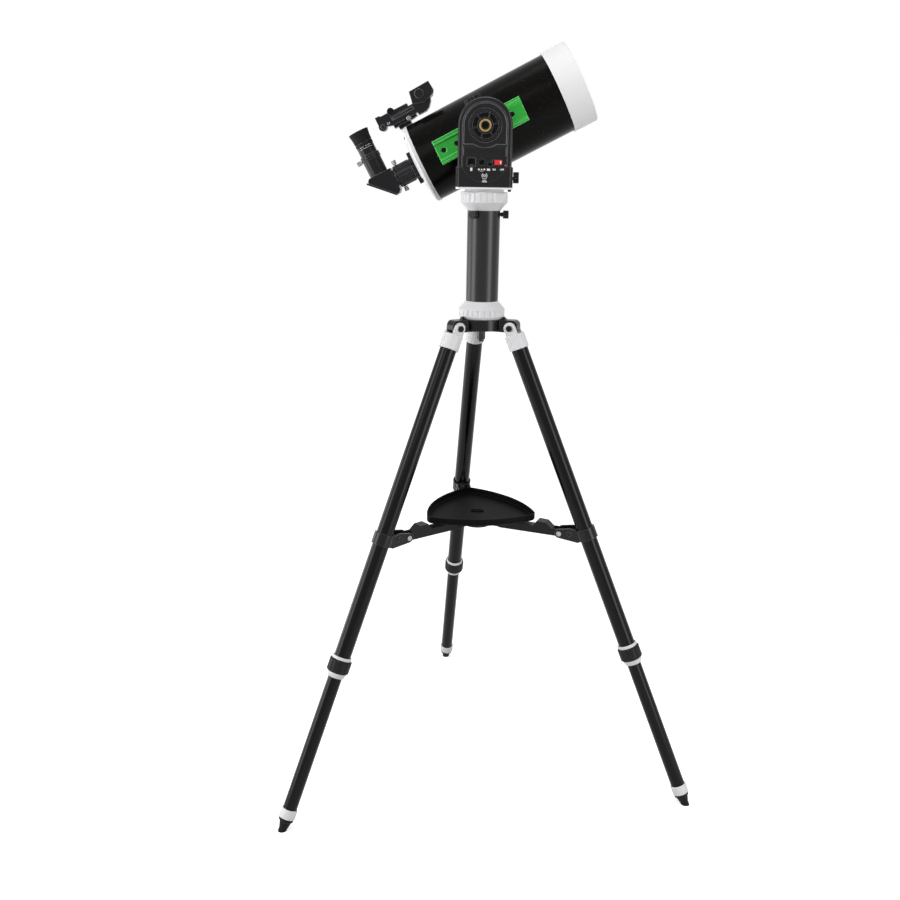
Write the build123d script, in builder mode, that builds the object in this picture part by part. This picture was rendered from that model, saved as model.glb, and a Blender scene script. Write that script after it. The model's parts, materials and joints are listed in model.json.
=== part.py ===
from build123d import *
import os
from math import atan2, cos, degrees, hypot, radians, sin, tan

# Catadioptric telescope on a single-arm altazimuth mount, an extension pier and a folding tripod.
# Millimetres, +Z up. The origin is on the floor under the azimuth axis; the tube looks along +X.
os.makedirs("parts", exist_ok=True)

# ---- clearances
RUN_FIT = 0.05          # radial, between a pin or shaft and the hole it turns in
FREE_GAP = 0.3          # between faces of pieces that move past each other
SEAM = 0.2              # joint line between pieces of one assembly

# ---- tripod
LEG_NAMES = ("left", "right", "back")
LEG_AZIMUTHS = (-139.9, -19.9, 100.1)   # seen from above, degrees from +X
PIVOT_Z = 863.0         # height of the leg hinges
PIVOT_R = 58.0          # their distance from the azimuth axis
FOOT_R = 427.0          # where the leg axes meet the floor
UPPER_R = 15.0          # upper leg tube, outer radius
LOWER_R = 12.7          # lower leg tube, outer radius
TUBE_WALL = 1.2
SLEEVE_R = 18.0         # casting that holds the top of a leg
SLEEVE_TOP = 13.0       # distances along a leg start at its hinge
SLEEVE_END = 39.5
SLEEVE_ROOF = 3.0
EYE_R = 10.5
CHEEK_T = 5.0
LEG_PIN_R = 4.0
UPPER_END = 630.0
GRIP_START = 617.0
GRIP_LENGTH = 24.0
GRIP_R = 20.0
GRIP_RIBS = 14
TOP_RING_LENGTH = 5.0
LOW_RING_LENGTH = 9.0
LOWER_START = 356.0
FOOT_COLLAR_START = 897.0
FOOT_COLLAR_END = 914.0
FOOT_COLLAR_R = 14.6
FOOT_TIP_R = 13.2
FOOT_POINT_R = 7.5

# ---- tripod hub
HUB_R = 38.5
HUB_TOP = 877.0
HUB_THICK = 19.5
EAR_HALF = 9.0          # half the thickness of a hub ear
EAR_REACH = 70.5
BOLT_R = 5.0            # clamping bolt through the hub
BOLT_KNOB_R = 7.5
BOLT_KNOB_LENGTH = 18.0
BOLT_TIP = 4.5
BOLT_REACH = 3.5        # how far the bolt stands above the hub

# ---- spreader
ARM_PIN_R = 3.0
CLAMP_PIVOT_R = 165.0   # hinge between leg clamp and spreader arm
SPREADER_Z = 497.0      # height of both ends of an arm
HUB_PIVOT_R = 50.0      # hinge between arm and spreader hub, left open
ARM_END_R = 6.5
ARM_HALF = 10.0
ARM_WALL = 2.0
ARM_HUMP = 10.5         # height of the hump beside the tray
CLAMP_START = 383.0
CLAMP_LENGTH = 21.0
CLAMP_BAND = 3.0
CLAMP_EAR_R = 8.5
CLAMP_BOLT_R = 184.7    # where the clamp bolt crosses, from the azimuth axis
CLAMP_BOLT_Z = 499.0
SPREADER_HUB_R = 26.0
SPREADER_HUB_TOP = 505.0

# ---- accessory tray
TRAY_FLOOR_Z = 511.0
TRAY_HEIGHT = 13.0
TRAY_WALL = 2.0
TRAY_CORNER_R = 116.0
TRAY_SIDE_R = 84.0
TRAY_CORNER_FILLET = 16.0
TRAY_BOSS_R = 18.0

# ---- extension pier
PIER_R = 28.5
PIER_WALL = 2.5
PIER_BOTTOM = 908.0
PIER_TOP = 1064.0
COLLAR_R = 40.8
COLLAR_RING = 14.0      # height of the ribbed band
COLLAR_CONE = 14.0      # height of the cone next to the tube
COLLAR_FOOT_R = 36.7
SPIGOT = 22.0           # length of a collar inside the tube
COLLAR_RIBS = 26
PLATFORM_R = 34.0
PLATFORM_TOP = 1099.8
KNOB_ANGLES = (2.0, 122.0, -118.0)
PIER_KNOB_Z = 1057.5
PIER_KNOB_R = 7.0
PIER_KNOB_LENGTH = 9.5
PIER_SCREW_R = 3.0
SPINDLE_R = 8.0
SPINDLE_TOP = 1130.0

# ---- mount
BASE_PLATE_T = 3.0
HOUSING_HALF_X = 48.0
HOUSING_FRONT = -45.0
HOUSING_BACK = 40.0         # short of the dovetail bar, which swings past it
HOUSING_TOP = 1137.0
EDGE_BEVEL = 4.5
ARM_WIDTH = 91.0
ARM_BACK = 28.0
ARM_ROUNDING = 4.0
ALT_Z = 1203.0          # altitude axis
PANEL_HALF = 38.0       # raised front panel
PANEL_PROUD = 1.6
PANEL_BOTTOM = 1110.0
PANEL_STEP_Z = 1173.0
PANEL_EDGE = 1.2        # rounding of the panel, which is less than it stands proud
PANEL_RIDGE = 2.5       # border left round the sunk upper field
FIELD_DEPTH = 1.3
COVE_HALF = 9.0         # half the height of the scoop under the ledge
COVE_DEPTH = 1.2
WHEEL_RECESS_R = 27.0
WHEEL_RECESS_DEPTH = 11.0
WHEEL_R = 24.8
WHEEL_T = 11.5
WHEEL_RIM = 3.6
WHEEL_SPOKES = 6
WHEEL_HUB_R = 13.2
BUSH_R = 10.2
BUSH_BORE_R = 6.0
BUSH_DEPTH = 18.0
BUSH_FRONT = -48.5
BUSH_BACK = -29.0
SHAFT_R = 12.0
PORT_Z = 1144.0
SOCKET_X = -22.0
SOCKET_WIDTH = 14.0     # block round the handset socket
SOCKET_HEIGHT = 13.0
PORT_DEPTH = 17.0       # how far the sockets reach into the arm
JACK_X = -4.7
JACK_R = 5.0
JACK_BORE_R = 3.2
JACK_PIN_R = 1.0
SHUTTER_X = 9.0
SHUTTER_DROP = 3.0
SHUTTER_R = 3.6
SHUTTER_BORE_R = 1.4
SWITCH_X = 23.0
SWITCH_WIDTH = 12.0
SWITCH_HEIGHT = 7.0
SWITCH_TRAVEL = 3.5
SWITCH_SEAT = 5.0       # depth of its slot
AZ_KNOB_Z = 1118.0
AZ_KNOB_R = 11.0
AZ_KNOB_LENGTH = 9.8

# ---- saddle and dovetail
SADDLE_BACK = 41.2
SADDLE_GAP = 0.8
SADDLE_HALF = 32.0
SADDLE_LOW = -34.0
SADDLE_HIGH = 38.0
JAW_DEPTH = 12.8
JAW_TOP = 29.5
LUG_START = 33.0
SADDLE_SCREW_R = 4.0
SADDLE_KNOB_R = 15.5
SADDLE_KNOB_START = 41.0
SADDLE_KNOB_END = 57.0
BAR_HALF = 22.0
BAR_T = 15.0
BAR_FLARE = 14.0        # degrees
BAR_START = -96.0       # stations along the tube are measured from the altitude axis
BAR_END = 73.0
BAR_HOLES = (-83.0, -57.0, 49.6)
BAR_STANDOFF = 4.5      # feet between the bar and the tube
BAR_GROOVE_N = 17.6     # two fine grooves along its face
BAR_GROOVE = 1.2

# ---- optical tube
ALTITUDE = 27.5         # degrees above the horizon at rest
TUBE_R = 72.0
TUBE_SHEET = 1.5
TUBE_START = -129.0
TUBE_END = 142.0
FRONT_CELL_STEP = 2.5   # how far a cell stands proud of the tube
FRONT_CELL_END = 187.0
FRONT_CELL_WALL = 3.5
LENS_SEAT = 5.0         # depth of the step that holds the corrector
CORRECTOR_START = 150.0
CORRECTOR_T = 12.0
CORRECTOR_SAG = 9.0
REAR_CELL_STEP = 1.2
REAR_CELL_RIM = 9.0
REAR_CELL_DOME = 5.0
MIRROR_GAP = 5.5        # radial, between the mirror and the tube
MIRROR_START = -116.0
MIRROR_T = 14.0
BAFFLE_R = 17.0
BAFFLE_BORE_R = 15.0
BAFFLE_END = 25.0
FOCUS_Y = 40.0          # focus knob, away from the tube axis
FOCUS_N = -6.0
FOCUS_R = 11.0
FOCUS_LENGTH = 20.0
VISUAL_R = 20.5
VISUAL_END = -186.0
VISUAL_RING_R = 22.5
VISUAL_RING_T = 9.0
VISUAL_LOBE_R = 6.4
VISUAL_LOBE_AT = 24.0
VISUAL_LOBES = 6
BARREL_R = 15.875       # 1.25 inch fittings

# ---- star diagonal and eyepiece
EYE_S = -213.5          # station of the eyepiece axis
DIAGONAL_FRONT = -189.0
DIAGONAL_HALF = 18.0
DIAGONAL_TOP = 20.0
DIAGONAL_BACKING = 8.0  # housing behind the prism's sloping face
DIAGONAL_COVER = 3.0
PRISM_HALF = 14.0
DIAGONAL_TUBE_R = 17.6
DIAGONAL_TUBE_TOP = 50.0
DIAGONAL_RING_R = 18.9
DIAGONAL_RING_T = 5.0
EYEPIECE_R = 16.4
EYEPIECE_TOP = 95.0
EYEPIECE_INSERT = 22.0
CUP_START = 84.0
CUP_TOP = 104.0
CUP_R = 19.2
CUP_WALL = 1.8

# ---- thumbscrews of the visual back and the diagonal
SCREW_R = 1.6
SCREW_HEAD_R = 4.2
SCREW_HEAD_LENGTH = 6.0
BACK_SCREW_S = -179.5
HOLDER_SCREW_N = 52.5

# ---- red dot finder
FINDER_HALF = 11.0
FINDER_WINDOW_HALF = 17.0
FINDER_DIAL_R = 6.8
FINDER_DIAL_S = -142.5
SHOE_START = -141.0
SHOE_END = -117.0
SHOE_HEIGHT = 7.0       # above the tube
SHOE_HALF = 16.0
SHOE_PLATE = 5.0


def save(piece, name):
    piece.part.label = name
    export_step(piece.part, f"parts/{name}.step")


def turned(side, axis, outline, arc=360.0):
    # a piece turned about an axis, from its half outline
    with BuildPart() as piece:
        with BuildSketch(side):
            with BuildLine():
                Polyline(*outline, close=True)
            make_face()
        revolve(axis=axis, revolution_arc=arc)
    return piece


# ---- places that follow from the sizes above
saddleFront = ARM_BACK + SADDLE_GAP
barFront = SADDLE_BACK + FREE_GAP
barBack = barFront + BAR_T
jawEnd = SADDLE_BACK + JAW_DEPTH
tubeY = barBack + BAR_STANDOFF + TUBE_R
frontCellR = TUBE_R + FRONT_CELL_STEP
rearCellR = TUBE_R + REAR_CELL_STEP
cellBore = frontCellR - FRONT_CELL_WALL
correctorR = cellBore - LENS_SEAT
correctorEnd = CORRECTOR_START + CORRECTOR_T
mirrorR = TUBE_R - TUBE_SHEET - MIRROR_GAP
rearFace = TUBE_START - REAR_CELL_RIM
rearBack = rearFace - REAR_CELL_DOME


# ---- planes of the tube: s runs along it, n upwards across it
tubeDir = Vector(cos(radians(ALTITUDE)), 0, sin(radians(ALTITUDE)))
upDir = Vector(-sin(radians(ALTITUDE)), 0, cos(radians(ALTITUDE)))
tubeOrigin = Vector(0, tubeY, ALT_Z)
tubeAxis = Axis(tubeOrigin, tubeDir)


def tube_point(s, n=0.0, y=0.0):
    return tubeOrigin + tubeDir * s + upDir * n + Vector(0, y, 0)


def side_at(y):
    # drawn as (s, n); extruding goes towards -Y
    return Plane(origin=(0, y, ALT_Z), x_dir=tubeDir, z_dir=(0, -1, 0))


def tube_cross(s, y=tubeY):
    # drawn as (y, n); extruding goes along the tube
    return Plane(origin=Vector(0, y, ALT_Z) + tubeDir * s, x_dir=(0, 1, 0), z_dir=tubeDir)


# ---- planes of the legs
legAngle = degrees(atan2(FOOT_R - PIVOT_R, PIVOT_Z))
legLength = hypot(FOOT_R - PIVOT_R, PIVOT_Z)


def radial(k):
    a = radians(LEG_AZIMUTHS[k])
    return Vector(cos(a), sin(a), 0)


def tangent(k):
    a = radians(LEG_AZIMUTHS[k])
    return Vector(-sin(a), cos(a), 0)


def leg_dir(k):
    return radial(k) * sin(radians(legAngle)) - Vector(0, 0, cos(radians(legAngle)))


def leg_pivot(k):
    return radial(k) * PIVOT_R + Vector(0, 0, PIVOT_Z)


def leg_side(k):
    # drawn as (along the leg, towards the middle)
    return Plane(origin=leg_pivot(k), x_dir=leg_dir(k), z_dir=tangent(k))


def leg_cross(k, s):
    return Plane(origin=leg_pivot(k) + leg_dir(k) * s, x_dir=tangent(k), z_dir=leg_dir(k))


def radial_side(k):
    # drawn as (distance from the azimuth axis, height)
    return Plane(origin=(0, 0, 0), x_dir=radial(k), z_dir=-tangent(k))


def on_leg(r, z):
    # a point of the radial plane in the coordinates of leg_side
    dr, dz, a = r - PIVOT_R, z - PIVOT_Z, radians(legAngle)
    return (dr * sin(a) - dz * cos(a), -dr * cos(a) - dz * sin(a))


# ---- tripod hub: a ring with three ears, each with a gusset where it leaves the ring
with BuildPart() as tripodHub:
    with BuildSketch(Plane.XY.offset(HUB_TOP - HUB_THICK)):
        Circle(HUB_R)
    extrude(amount=HUB_THICK)
    for k in range(3):
        with BuildSketch(radial_side(k)):
            with BuildLine():
                low = PIVOT_Z - 2 * LEG_PIN_R
                Line((EAR_REACH - 6, low), (HUB_R / 2, low))
                Line((HUB_R / 2, low), (HUB_R / 2, HUB_TOP))
                Line((HUB_R / 2, HUB_TOP), (EAR_REACH - EAR_HALF, HUB_TOP))
                RadiusArc((EAR_REACH - EAR_HALF, HUB_TOP), (EAR_REACH, HUB_TOP - EAR_HALF), EAR_HALF)
                Polyline((EAR_REACH, HUB_TOP - EAR_HALF), (EAR_REACH, low + 6), (EAR_REACH - 6, low))
            make_face()
        extrude(amount=EAR_HALF, both=True)
        with BuildSketch(radial_side(k)):
            with BuildLine():
                Polyline((HUB_R, HUB_TOP), (HUB_R + 10, HUB_TOP), (HUB_R + 4, HUB_TOP + 5), close=True)
            make_face()
        extrude(amount=2.5, both=True)
        with BuildSketch(radial_side(k)):
            with Locations((PIVOT_R, PIVOT_Z)):
                Circle(LEG_PIN_R)
        extrude(amount=EAR_HALF, both=True, mode=Mode.SUBTRACT)
    with BuildSketch(Plane.XY.offset(HUB_TOP - HUB_THICK)):
        Circle(BOLT_R + RUN_FIT)
    extrude(amount=HUB_THICK, mode=Mode.SUBTRACT)
    # lightening pocket under the ring
    with BuildSketch(Plane.XY.offset(HUB_TOP - HUB_THICK)):
        Circle(HUB_R - 6)
        Circle(BOLT_R + 7, mode=Mode.SUBTRACT)
    extrude(amount=HUB_THICK - 8, mode=Mode.SUBTRACT)
save(tripodHub, "tripod_hub")

# ---- hinge bolts of the legs
with BuildPart() as pivotBolts:
    cheekOut = EAR_HALF + FREE_GAP + CHEEK_T
    for k in range(3):
        with BuildSketch(radial_side(k)):
            with Locations((PIVOT_R, PIVOT_Z)):
                Circle(LEG_PIN_R)
        extrude(amount=cheekOut + FREE_GAP, both=True)
        for side in (1, -1):
            with BuildSketch(radial_side(k).offset(side * (cheekOut + FREE_GAP))):
                with Locations((PIVOT_R, PIVOT_Z)):
                    Circle(EYE_R / 2)
            extrude(amount=side * 2.5)
save(pivotBolts, "pivot_bolts")

# ---- clamping bolt under the hub, with a six-sided grip
with BuildPart() as centreBolt:
    knobTop = HUB_TOP - HUB_THICK - FREE_GAP
    with BuildSketch(Plane.XY.offset(knobTop - BOLT_KNOB_LENGTH)):
        RegularPolygon(BOLT_KNOB_R, 6)
    extrude(amount=BOLT_KNOB_LENGTH)
    with BuildSketch(Plane.XY.offset(knobTop - BOLT_KNOB_LENGTH - BOLT_TIP)):
        Circle(BOLT_R)
    extrude(amount=HUB_TOP + BOLT_REACH - knobTop + BOLT_KNOB_LENGTH + BOLT_TIP)
save(centreBolt, "centre_bolt")


# ---- leg castings, tubes, twist locks and feet
def leg_bracket(k):
    with BuildPart() as piece:
        with BuildSketch(leg_cross(k, SLEEVE_TOP)):
            Circle(SLEEVE_R)
        extrude(amount=SLEEVE_END - SLEEVE_TOP)
        with BuildSketch(leg_side(k)):
            Circle(EYE_R)
            with Locations((SLEEVE_TOP / 2 + 1, 0)):
                Rectangle(SLEEVE_TOP + 2, 2 * EYE_R)
        extrude(amount=EAR_HALF + FREE_GAP + CHEEK_T, both=True)
        with BuildSketch(leg_side(k)):
            with Locations((0, 0)):
                Rectangle(2 * SLEEVE_TOP, 3 * EYE_R)
        extrude(amount=EAR_HALF + FREE_GAP, both=True, mode=Mode.SUBTRACT)
        with BuildSketch(leg_side(k)):
            Circle(LEG_PIN_R + RUN_FIT)
        extrude(amount=SLEEVE_R, both=True, mode=Mode.SUBTRACT)
        with BuildSketch(leg_cross(k, SLEEVE_TOP + SLEEVE_ROOF)):
            Circle(UPPER_R)
        extrude(amount=SLEEVE_END, mode=Mode.SUBTRACT)
    return piece


def leg_tube(k, radius, start, end, guide=0.0):
    # guide is the radius of the bush round the top of a sliding tube
    with BuildPart() as piece:
        with BuildSketch(leg_cross(k, start)):
            Circle(radius)
            Circle(radius - TUBE_WALL, mode=Mode.SUBTRACT)
        extrude(amount=end - start)
        if guide:
            with BuildSketch(leg_cross(k, start)):
                Circle(guide)
                Circle(radius - TUBE_WALL, mode=Mode.SUBTRACT)
            extrude(amount=2 * radius)
    return piece


def leg_lock(k):
    # twist grip between two smooth rings
    gripEnd = GRIP_START + GRIP_LENGTH
    side, axis = leg_side(k), Axis(leg_pivot(k), leg_dir(k))
    upperBore, lowerBore = UPPER_R + RUN_FIT, LOWER_R + FREE_GAP
    with BuildPart() as piece:
        with BuildSketch(side):
            with BuildLine():
                Polyline((GRIP_START, upperBore), (GRIP_START, GRIP_R - 2), (GRIP_START + 2, GRIP_R),
                         (gripEnd - 2, GRIP_R), (gripEnd, GRIP_R - 2), (gripEnd, lowerBore),
                         (UPPER_END + FREE_GAP, lowerBore), (UPPER_END + FREE_GAP, upperBore), close=True)
            make_face()
        revolve(axis=axis)
        with BuildSketch(leg_cross(k, GRIP_START)):
            with PolarLocations(GRIP_R + 0.6, GRIP_RIBS):
                Circle(1.7)
        extrude(amount=GRIP_LENGTH, mode=Mode.SUBTRACT)
        with BuildSketch(side):
            with BuildLine():
                topStart = GRIP_START - SEAM - TOP_RING_LENGTH
                Polyline((topStart, upperBore), (topStart, GRIP_R - 3.5), (topStart + 1, GRIP_R - 2.5),
                         (GRIP_START - SEAM, GRIP_R - 2.5), (GRIP_START - SEAM, upperBore), close=True)
            make_face()
        revolve(axis=axis)
        with BuildSketch(side):
            with BuildLine():
                lowStart = gripEnd + SEAM
                Polyline((lowStart, lowerBore), (lowStart, GRIP_R - 2.5), (lowStart + 4, GRIP_R - 3),
                         (lowStart + LOW_RING_LENGTH, GRIP_R - 5.4),
                         (lowStart + LOW_RING_LENGTH, lowerBore),
                         close=True)
            make_face()
        revolve(axis=axis)
    return piece


def leg_foot(k):
    # collar round the tube and a rubber tip ground flat on the floor
    side, axis = leg_side(k), Axis(leg_pivot(k), leg_dir(k))
    tip = FOOT_COLLAR_END
    with BuildPart() as piece:
        with BuildSketch(side):
            with BuildLine():
                Polyline((FOOT_COLLAR_START, LOWER_R), (FOOT_COLLAR_START, FOOT_COLLAR_R - 1),
                         (FOOT_COLLAR_START + 2, FOOT_COLLAR_R), (FOOT_COLLAR_END, FOOT_COLLAR_R),
                         (FOOT_COLLAR_END, LOWER_R), close=True)
            make_face()
        revolve(axis=axis)
        with BuildSketch(side):
            with BuildLine():
                Polyline((tip, 0), (tip, FOOT_TIP_R), (tip + 5, FOOT_TIP_R), (tip + 8, FOOT_TIP_R - 2.5),
                         (legLength - 5, FOOT_POINT_R), (legLength + 8, FOOT_POINT_R), (legLength + 8, 0),
                         close=True)
            make_face()
        revolve(axis=axis)
        split(bisect_by=Plane.XY, keep=Keep.TOP)
    return piece


def leg_clamp(k):
    # band round the leg with two ears, its clamp bolt and the hinge rivet of the arm
    pin, bolt = on_leg(CLAMP_PIVOT_R, SPREADER_Z), on_leg(CLAMP_BOLT_R, CLAMP_BOLT_Z)
    earIn = ARM_HALF + FREE_GAP
    earOut = earIn + CLAMP_BAND
    with BuildPart() as piece:
        with BuildSketch(leg_side(k)):
            with Locations((CLAMP_START + CLAMP_LENGTH / 2, UPPER_R)):
                Rectangle(CLAMP_LENGTH, 2 * CLAMP_BAND)
            with Locations(pin):
                Circle(CLAMP_EAR_R)
            with Locations(bolt):
                Circle(CLAMP_EAR_R + 1.5)
            make_hull()
        extrude(amount=earOut, both=True)
        with BuildSketch(leg_side(k)):
            with Locations((CLAMP_START, UPPER_R)):
                Rectangle(4 * CLAMP_LENGTH, 90, align=(Align.CENTER, Align.MIN))
        extrude(amount=earIn, both=True, mode=Mode.SUBTRACT)
        with BuildSketch(leg_cross(k, CLAMP_START)):
            Circle(UPPER_R + CLAMP_BAND)
        extrude(amount=CLAMP_LENGTH)
        with BuildSketch(leg_cross(k, CLAMP_START - CLAMP_LENGTH)):
            Circle(UPPER_R)
        extrude(amount=3 * CLAMP_LENGTH, mode=Mode.SUBTRACT)
        for place in (pin, bolt):
            with BuildSketch(leg_side(k)):
                with Locations(place):
                    Circle(ARM_PIN_R - RUN_FIT)
            extrude(amount=earOut, both=True)
            with BuildSketch(leg_side(k)):
                with Locations(place):
                    Circle(ARM_PIN_R + 1.6)
            extrude(amount=earOut + 1.8, both=True)
            with BuildSketch(leg_side(k)):
                with Locations(place):
                    Circle(ARM_PIN_R + 2)
                    Circle(ARM_PIN_R - RUN_FIT, mode=Mode.SUBTRACT)
            extrude(amount=earIn, both=True, mode=Mode.SUBTRACT)
    return piece


def spreader_arm(k):
    # pressed channel, humped beside the tray, open at both ends round its hinges
    top = SPREADER_Z + ARM_END_R
    hump = ((CLAMP_PIVOT_R - 15, top - 1), (CLAMP_PIVOT_R - 27, top + ARM_HUMP - 1),
            (TRAY_CORNER_R + 5, top + ARM_HUMP), (TRAY_CORNER_R - 3, top - 1))
    with BuildPart() as piece:
        with BuildSketch(radial_side(k)):
            with Locations((CLAMP_PIVOT_R, SPREADER_Z), (HUB_PIVOT_R, SPREADER_Z)):
                Circle(ARM_END_R)
            make_hull()
            with BuildLine():
                Polyline(*hump, close=True)
            make_face()
        extrude(amount=ARM_HALF, both=True)
        with BuildSketch(radial_side(k)):
            with Locations(((CLAMP_PIVOT_R + HUB_PIVOT_R) / 2, top - ARM_WALL)):
                Rectangle(CLAMP_PIVOT_R, 3 * ARM_END_R, align=(Align.CENTER, Align.MAX))
            with BuildLine():
                Polyline(*((r, z - ARM_WALL) for r, z in hump), close=True)
            make_face()
            with Locations((CLAMP_PIVOT_R, SPREADER_Z)):
                Rectangle(4.4 * ARM_END_R, 4 * ARM_END_R)
            with Locations((HUB_PIVOT_R, SPREADER_Z)):
                Rectangle(7 * ARM_END_R, 4 * ARM_END_R)
        extrude(amount=ARM_HALF - ARM_WALL, both=True, mode=Mode.SUBTRACT)
        with BuildSketch(radial_side(k)):
            with Locations((CLAMP_PIVOT_R, SPREADER_Z), (HUB_PIVOT_R, SPREADER_Z)):
                Circle(ARM_PIN_R)
        extrude(amount=ARM_HALF, both=True, mode=Mode.SUBTRACT)
    return piece


for k, name in enumerate(LEG_NAMES):
    save(leg_bracket(k), f"leg_bracket_{name}")
    save(leg_tube(k, UPPER_R, SLEEVE_TOP + SLEEVE_ROOF, UPPER_END), f"upper_leg_{name}")
    lowerLeg = leg_tube(k, LOWER_R, LOWER_START, FOOT_COLLAR_END, UPPER_R - TUBE_WALL - RUN_FIT)
    save(lowerLeg, f"lower_leg_{name}")
    save(leg_lock(k), f"leg_lock_{name}")
    save(leg_foot(k), f"leg_foot_{name}")
    save(leg_clamp(k), f"leg_clamp_{name}")
    save(spreader_arm(k), f"spreader_arm_{name}")

# ---- spreader hub: three blades that stand inside the arms
with BuildPart() as spreaderHub:
    with BuildSketch(Plane.XY.offset(SPREADER_Z - ARM_END_R - 2)):
        Circle(SPREADER_HUB_R)
    extrude(amount=SPREADER_HUB_TOP - SPREADER_Z + ARM_END_R + 2)
    for k in range(3):
        with BuildSketch(radial_side(k)):
            with Locations((HUB_PIVOT_R, SPREADER_Z), (SPREADER_HUB_R / 2, SPREADER_Z)):
                Circle(ARM_END_R - 0.5)
            make_hull()
            with Locations((HUB_PIVOT_R, SPREADER_Z)):
                Circle(ARM_PIN_R, mode=Mode.SUBTRACT)
        extrude(amount=ARM_HALF - ARM_WALL - FREE_GAP, both=True)
save(spreaderHub, "spreader_hub")

# ---- accessory tray: a dish with three bowed sides and a locking boss
with BuildPart() as tray:
    corners = [radial(k) * TRAY_CORNER_R for k in range(3)]
    middles = [Vector(TRAY_SIDE_R, 0, 0).rotate(Axis.Z, LEG_AZIMUTHS[k] + 60) for k in range(3)]
    with BuildSketch(Plane.XY.offset(TRAY_FLOOR_Z)) as trayOutline:
        with BuildLine():
            for k in range(3):
                ThreePointArc(corners[k], middles[k], corners[(k + 1) % 3])
        make_face()
        fillet(trayOutline.vertices(), TRAY_CORNER_FILLET)
    extrude(amount=TRAY_HEIGHT)
    fillet(tray.faces().sort_by(Axis.Z)[0].edges(), 4)
    offset(amount=-TRAY_WALL, openings=tray.faces().sort_by(Axis.Z)[-1])
    with BuildSketch(Plane.XY.offset(SPREADER_HUB_TOP)):
        Circle(TRAY_BOSS_R)
    extrude(amount=TRAY_FLOOR_Z - SPREADER_HUB_TOP)
    with BuildSketch(Plane.XY.offset(TRAY_FLOOR_Z + TRAY_WALL)):
        SlotOverall(26, 12)
        SlotOverall(22, 8, mode=Mode.SUBTRACT)
    extrude(amount=1.5)
save(tray, "accessory_tray")


# ---- pier: tube between two ribbed collars that plug into it
def outward(angle, z):
    # a plane facing away from the azimuth axis
    a = radians(angle)
    return Plane(origin=(0, 0, z), x_dir=(-sin(a), cos(a), 0), z_dir=(cos(a), sin(a), 0))


def collar_outline(tube_end, up):
    # (radius, height) from the tube end outwards; up is 1 above the tube and -1 below it
    cone = tube_end + up * COLLAR_CONE
    ring = cone + up * COLLAR_RING
    return cone, ring


coneLow, ringLow = collar_outline(PIER_BOTTOM, -1)
coneHigh, ringHigh = collar_outline(PIER_TOP, 1)
pierBore = PIER_R - PIER_WALL
with BuildPart() as bottomCollar:
    with BuildSketch(Plane.XZ):
        with BuildLine():
            Polyline((BOLT_R + RUN_FIT, HUB_TOP), (COLLAR_FOOT_R, HUB_TOP), (COLLAR_R, ringLow + 2),
                     (COLLAR_R, coneLow), (PIER_R, PIER_BOTTOM), (pierBore, PIER_BOTTOM),
                     (pierBore, PIER_BOTTOM + SPIGOT), (pierBore - 4, PIER_BOTTOM + SPIGOT),
                     (pierBore - 4, HUB_TOP + 7), (BOLT_R + RUN_FIT, HUB_TOP + 7), close=True)
        make_face()
    revolve(axis=Axis.Z)
    with BuildSketch(Plane.XY.offset(ringLow + 2)):
        with PolarLocations(COLLAR_R + 1.2, COLLAR_RIBS):
            Circle(2.4)
    extrude(amount=coneLow - ringLow - 3, mode=Mode.SUBTRACT)
save(bottomCollar, "bottom_collar")

# the top collar carries the platform and the spindle that the mount turns on
with BuildPart() as topCollar:
    roof = ringHigh + 3.4
    with BuildSketch(Plane.XZ):
        with BuildLine():
            Polyline((0, SPINDLE_TOP), (SPINDLE_R - 1, SPINDLE_TOP), (SPINDLE_R, SPINDLE_TOP - 1),
                     (SPINDLE_R, PLATFORM_TOP), (PLATFORM_R, PLATFORM_TOP), (PLATFORM_R, roof),
                     (COLLAR_R - 1.5, roof), (COLLAR_R, roof - 1.5), (COLLAR_R, coneHigh),
                     (PIER_R, PIER_TOP), (pierBore, PIER_TOP), (pierBore, PIER_TOP - SPIGOT),
                     (pierBore - 4, PIER_TOP - SPIGOT), (pierBore - 4, roof - 7),
                     (0, roof - 7), close=True)
        make_face()
    revolve(axis=Axis.Z)
    with BuildSketch(Plane.XY.offset(coneHigh + 1)):
        with PolarLocations(COLLAR_R + 1.2, COLLAR_RIBS):
            Circle(2.4)
    extrude(amount=roof - coneHigh - 3, mode=Mode.SUBTRACT)
save(topCollar, "top_collar")

with BuildPart() as pierTube:
    with BuildSketch(Plane.XY.offset(PIER_BOTTOM)):
        Circle(PIER_R)
        Circle(pierBore, mode=Mode.SUBTRACT)
    extrude(amount=PIER_TOP - PIER_BOTTOM)
    for angle in KNOB_ANGLES:
        with BuildSketch(outward(angle, PIER_KNOB_Z)):
            Circle(PIER_SCREW_R)
        extrude(amount=2 * PIER_R, mode=Mode.SUBTRACT)
save(pierTube, "pier_tube")

with BuildPart() as pierKnobs:
    for angle in KNOB_ANGLES:
        across = outward(angle, PIER_KNOB_Z)
        with BuildSketch(across.offset(pierBore + SEAM)):
            Circle(PIER_SCREW_R - RUN_FIT)
        extrude(amount=PIER_R - pierBore + 5)
        with BuildSketch(across.offset(PIER_R + 1.5)):
            Circle(PIER_SCREW_R + 0.8)
        extrude(amount=4)
        with BuildSketch(across.offset(PIER_R + 5)):
            Circle(PIER_KNOB_R)
            with PolarLocations(PIER_KNOB_R + 0.8, 8):
                Circle(1.8, mode=Mode.SUBTRACT)
        extrude(amount=PIER_KNOB_LENGTH)
save(pierKnobs, "pier_knobs")

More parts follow.
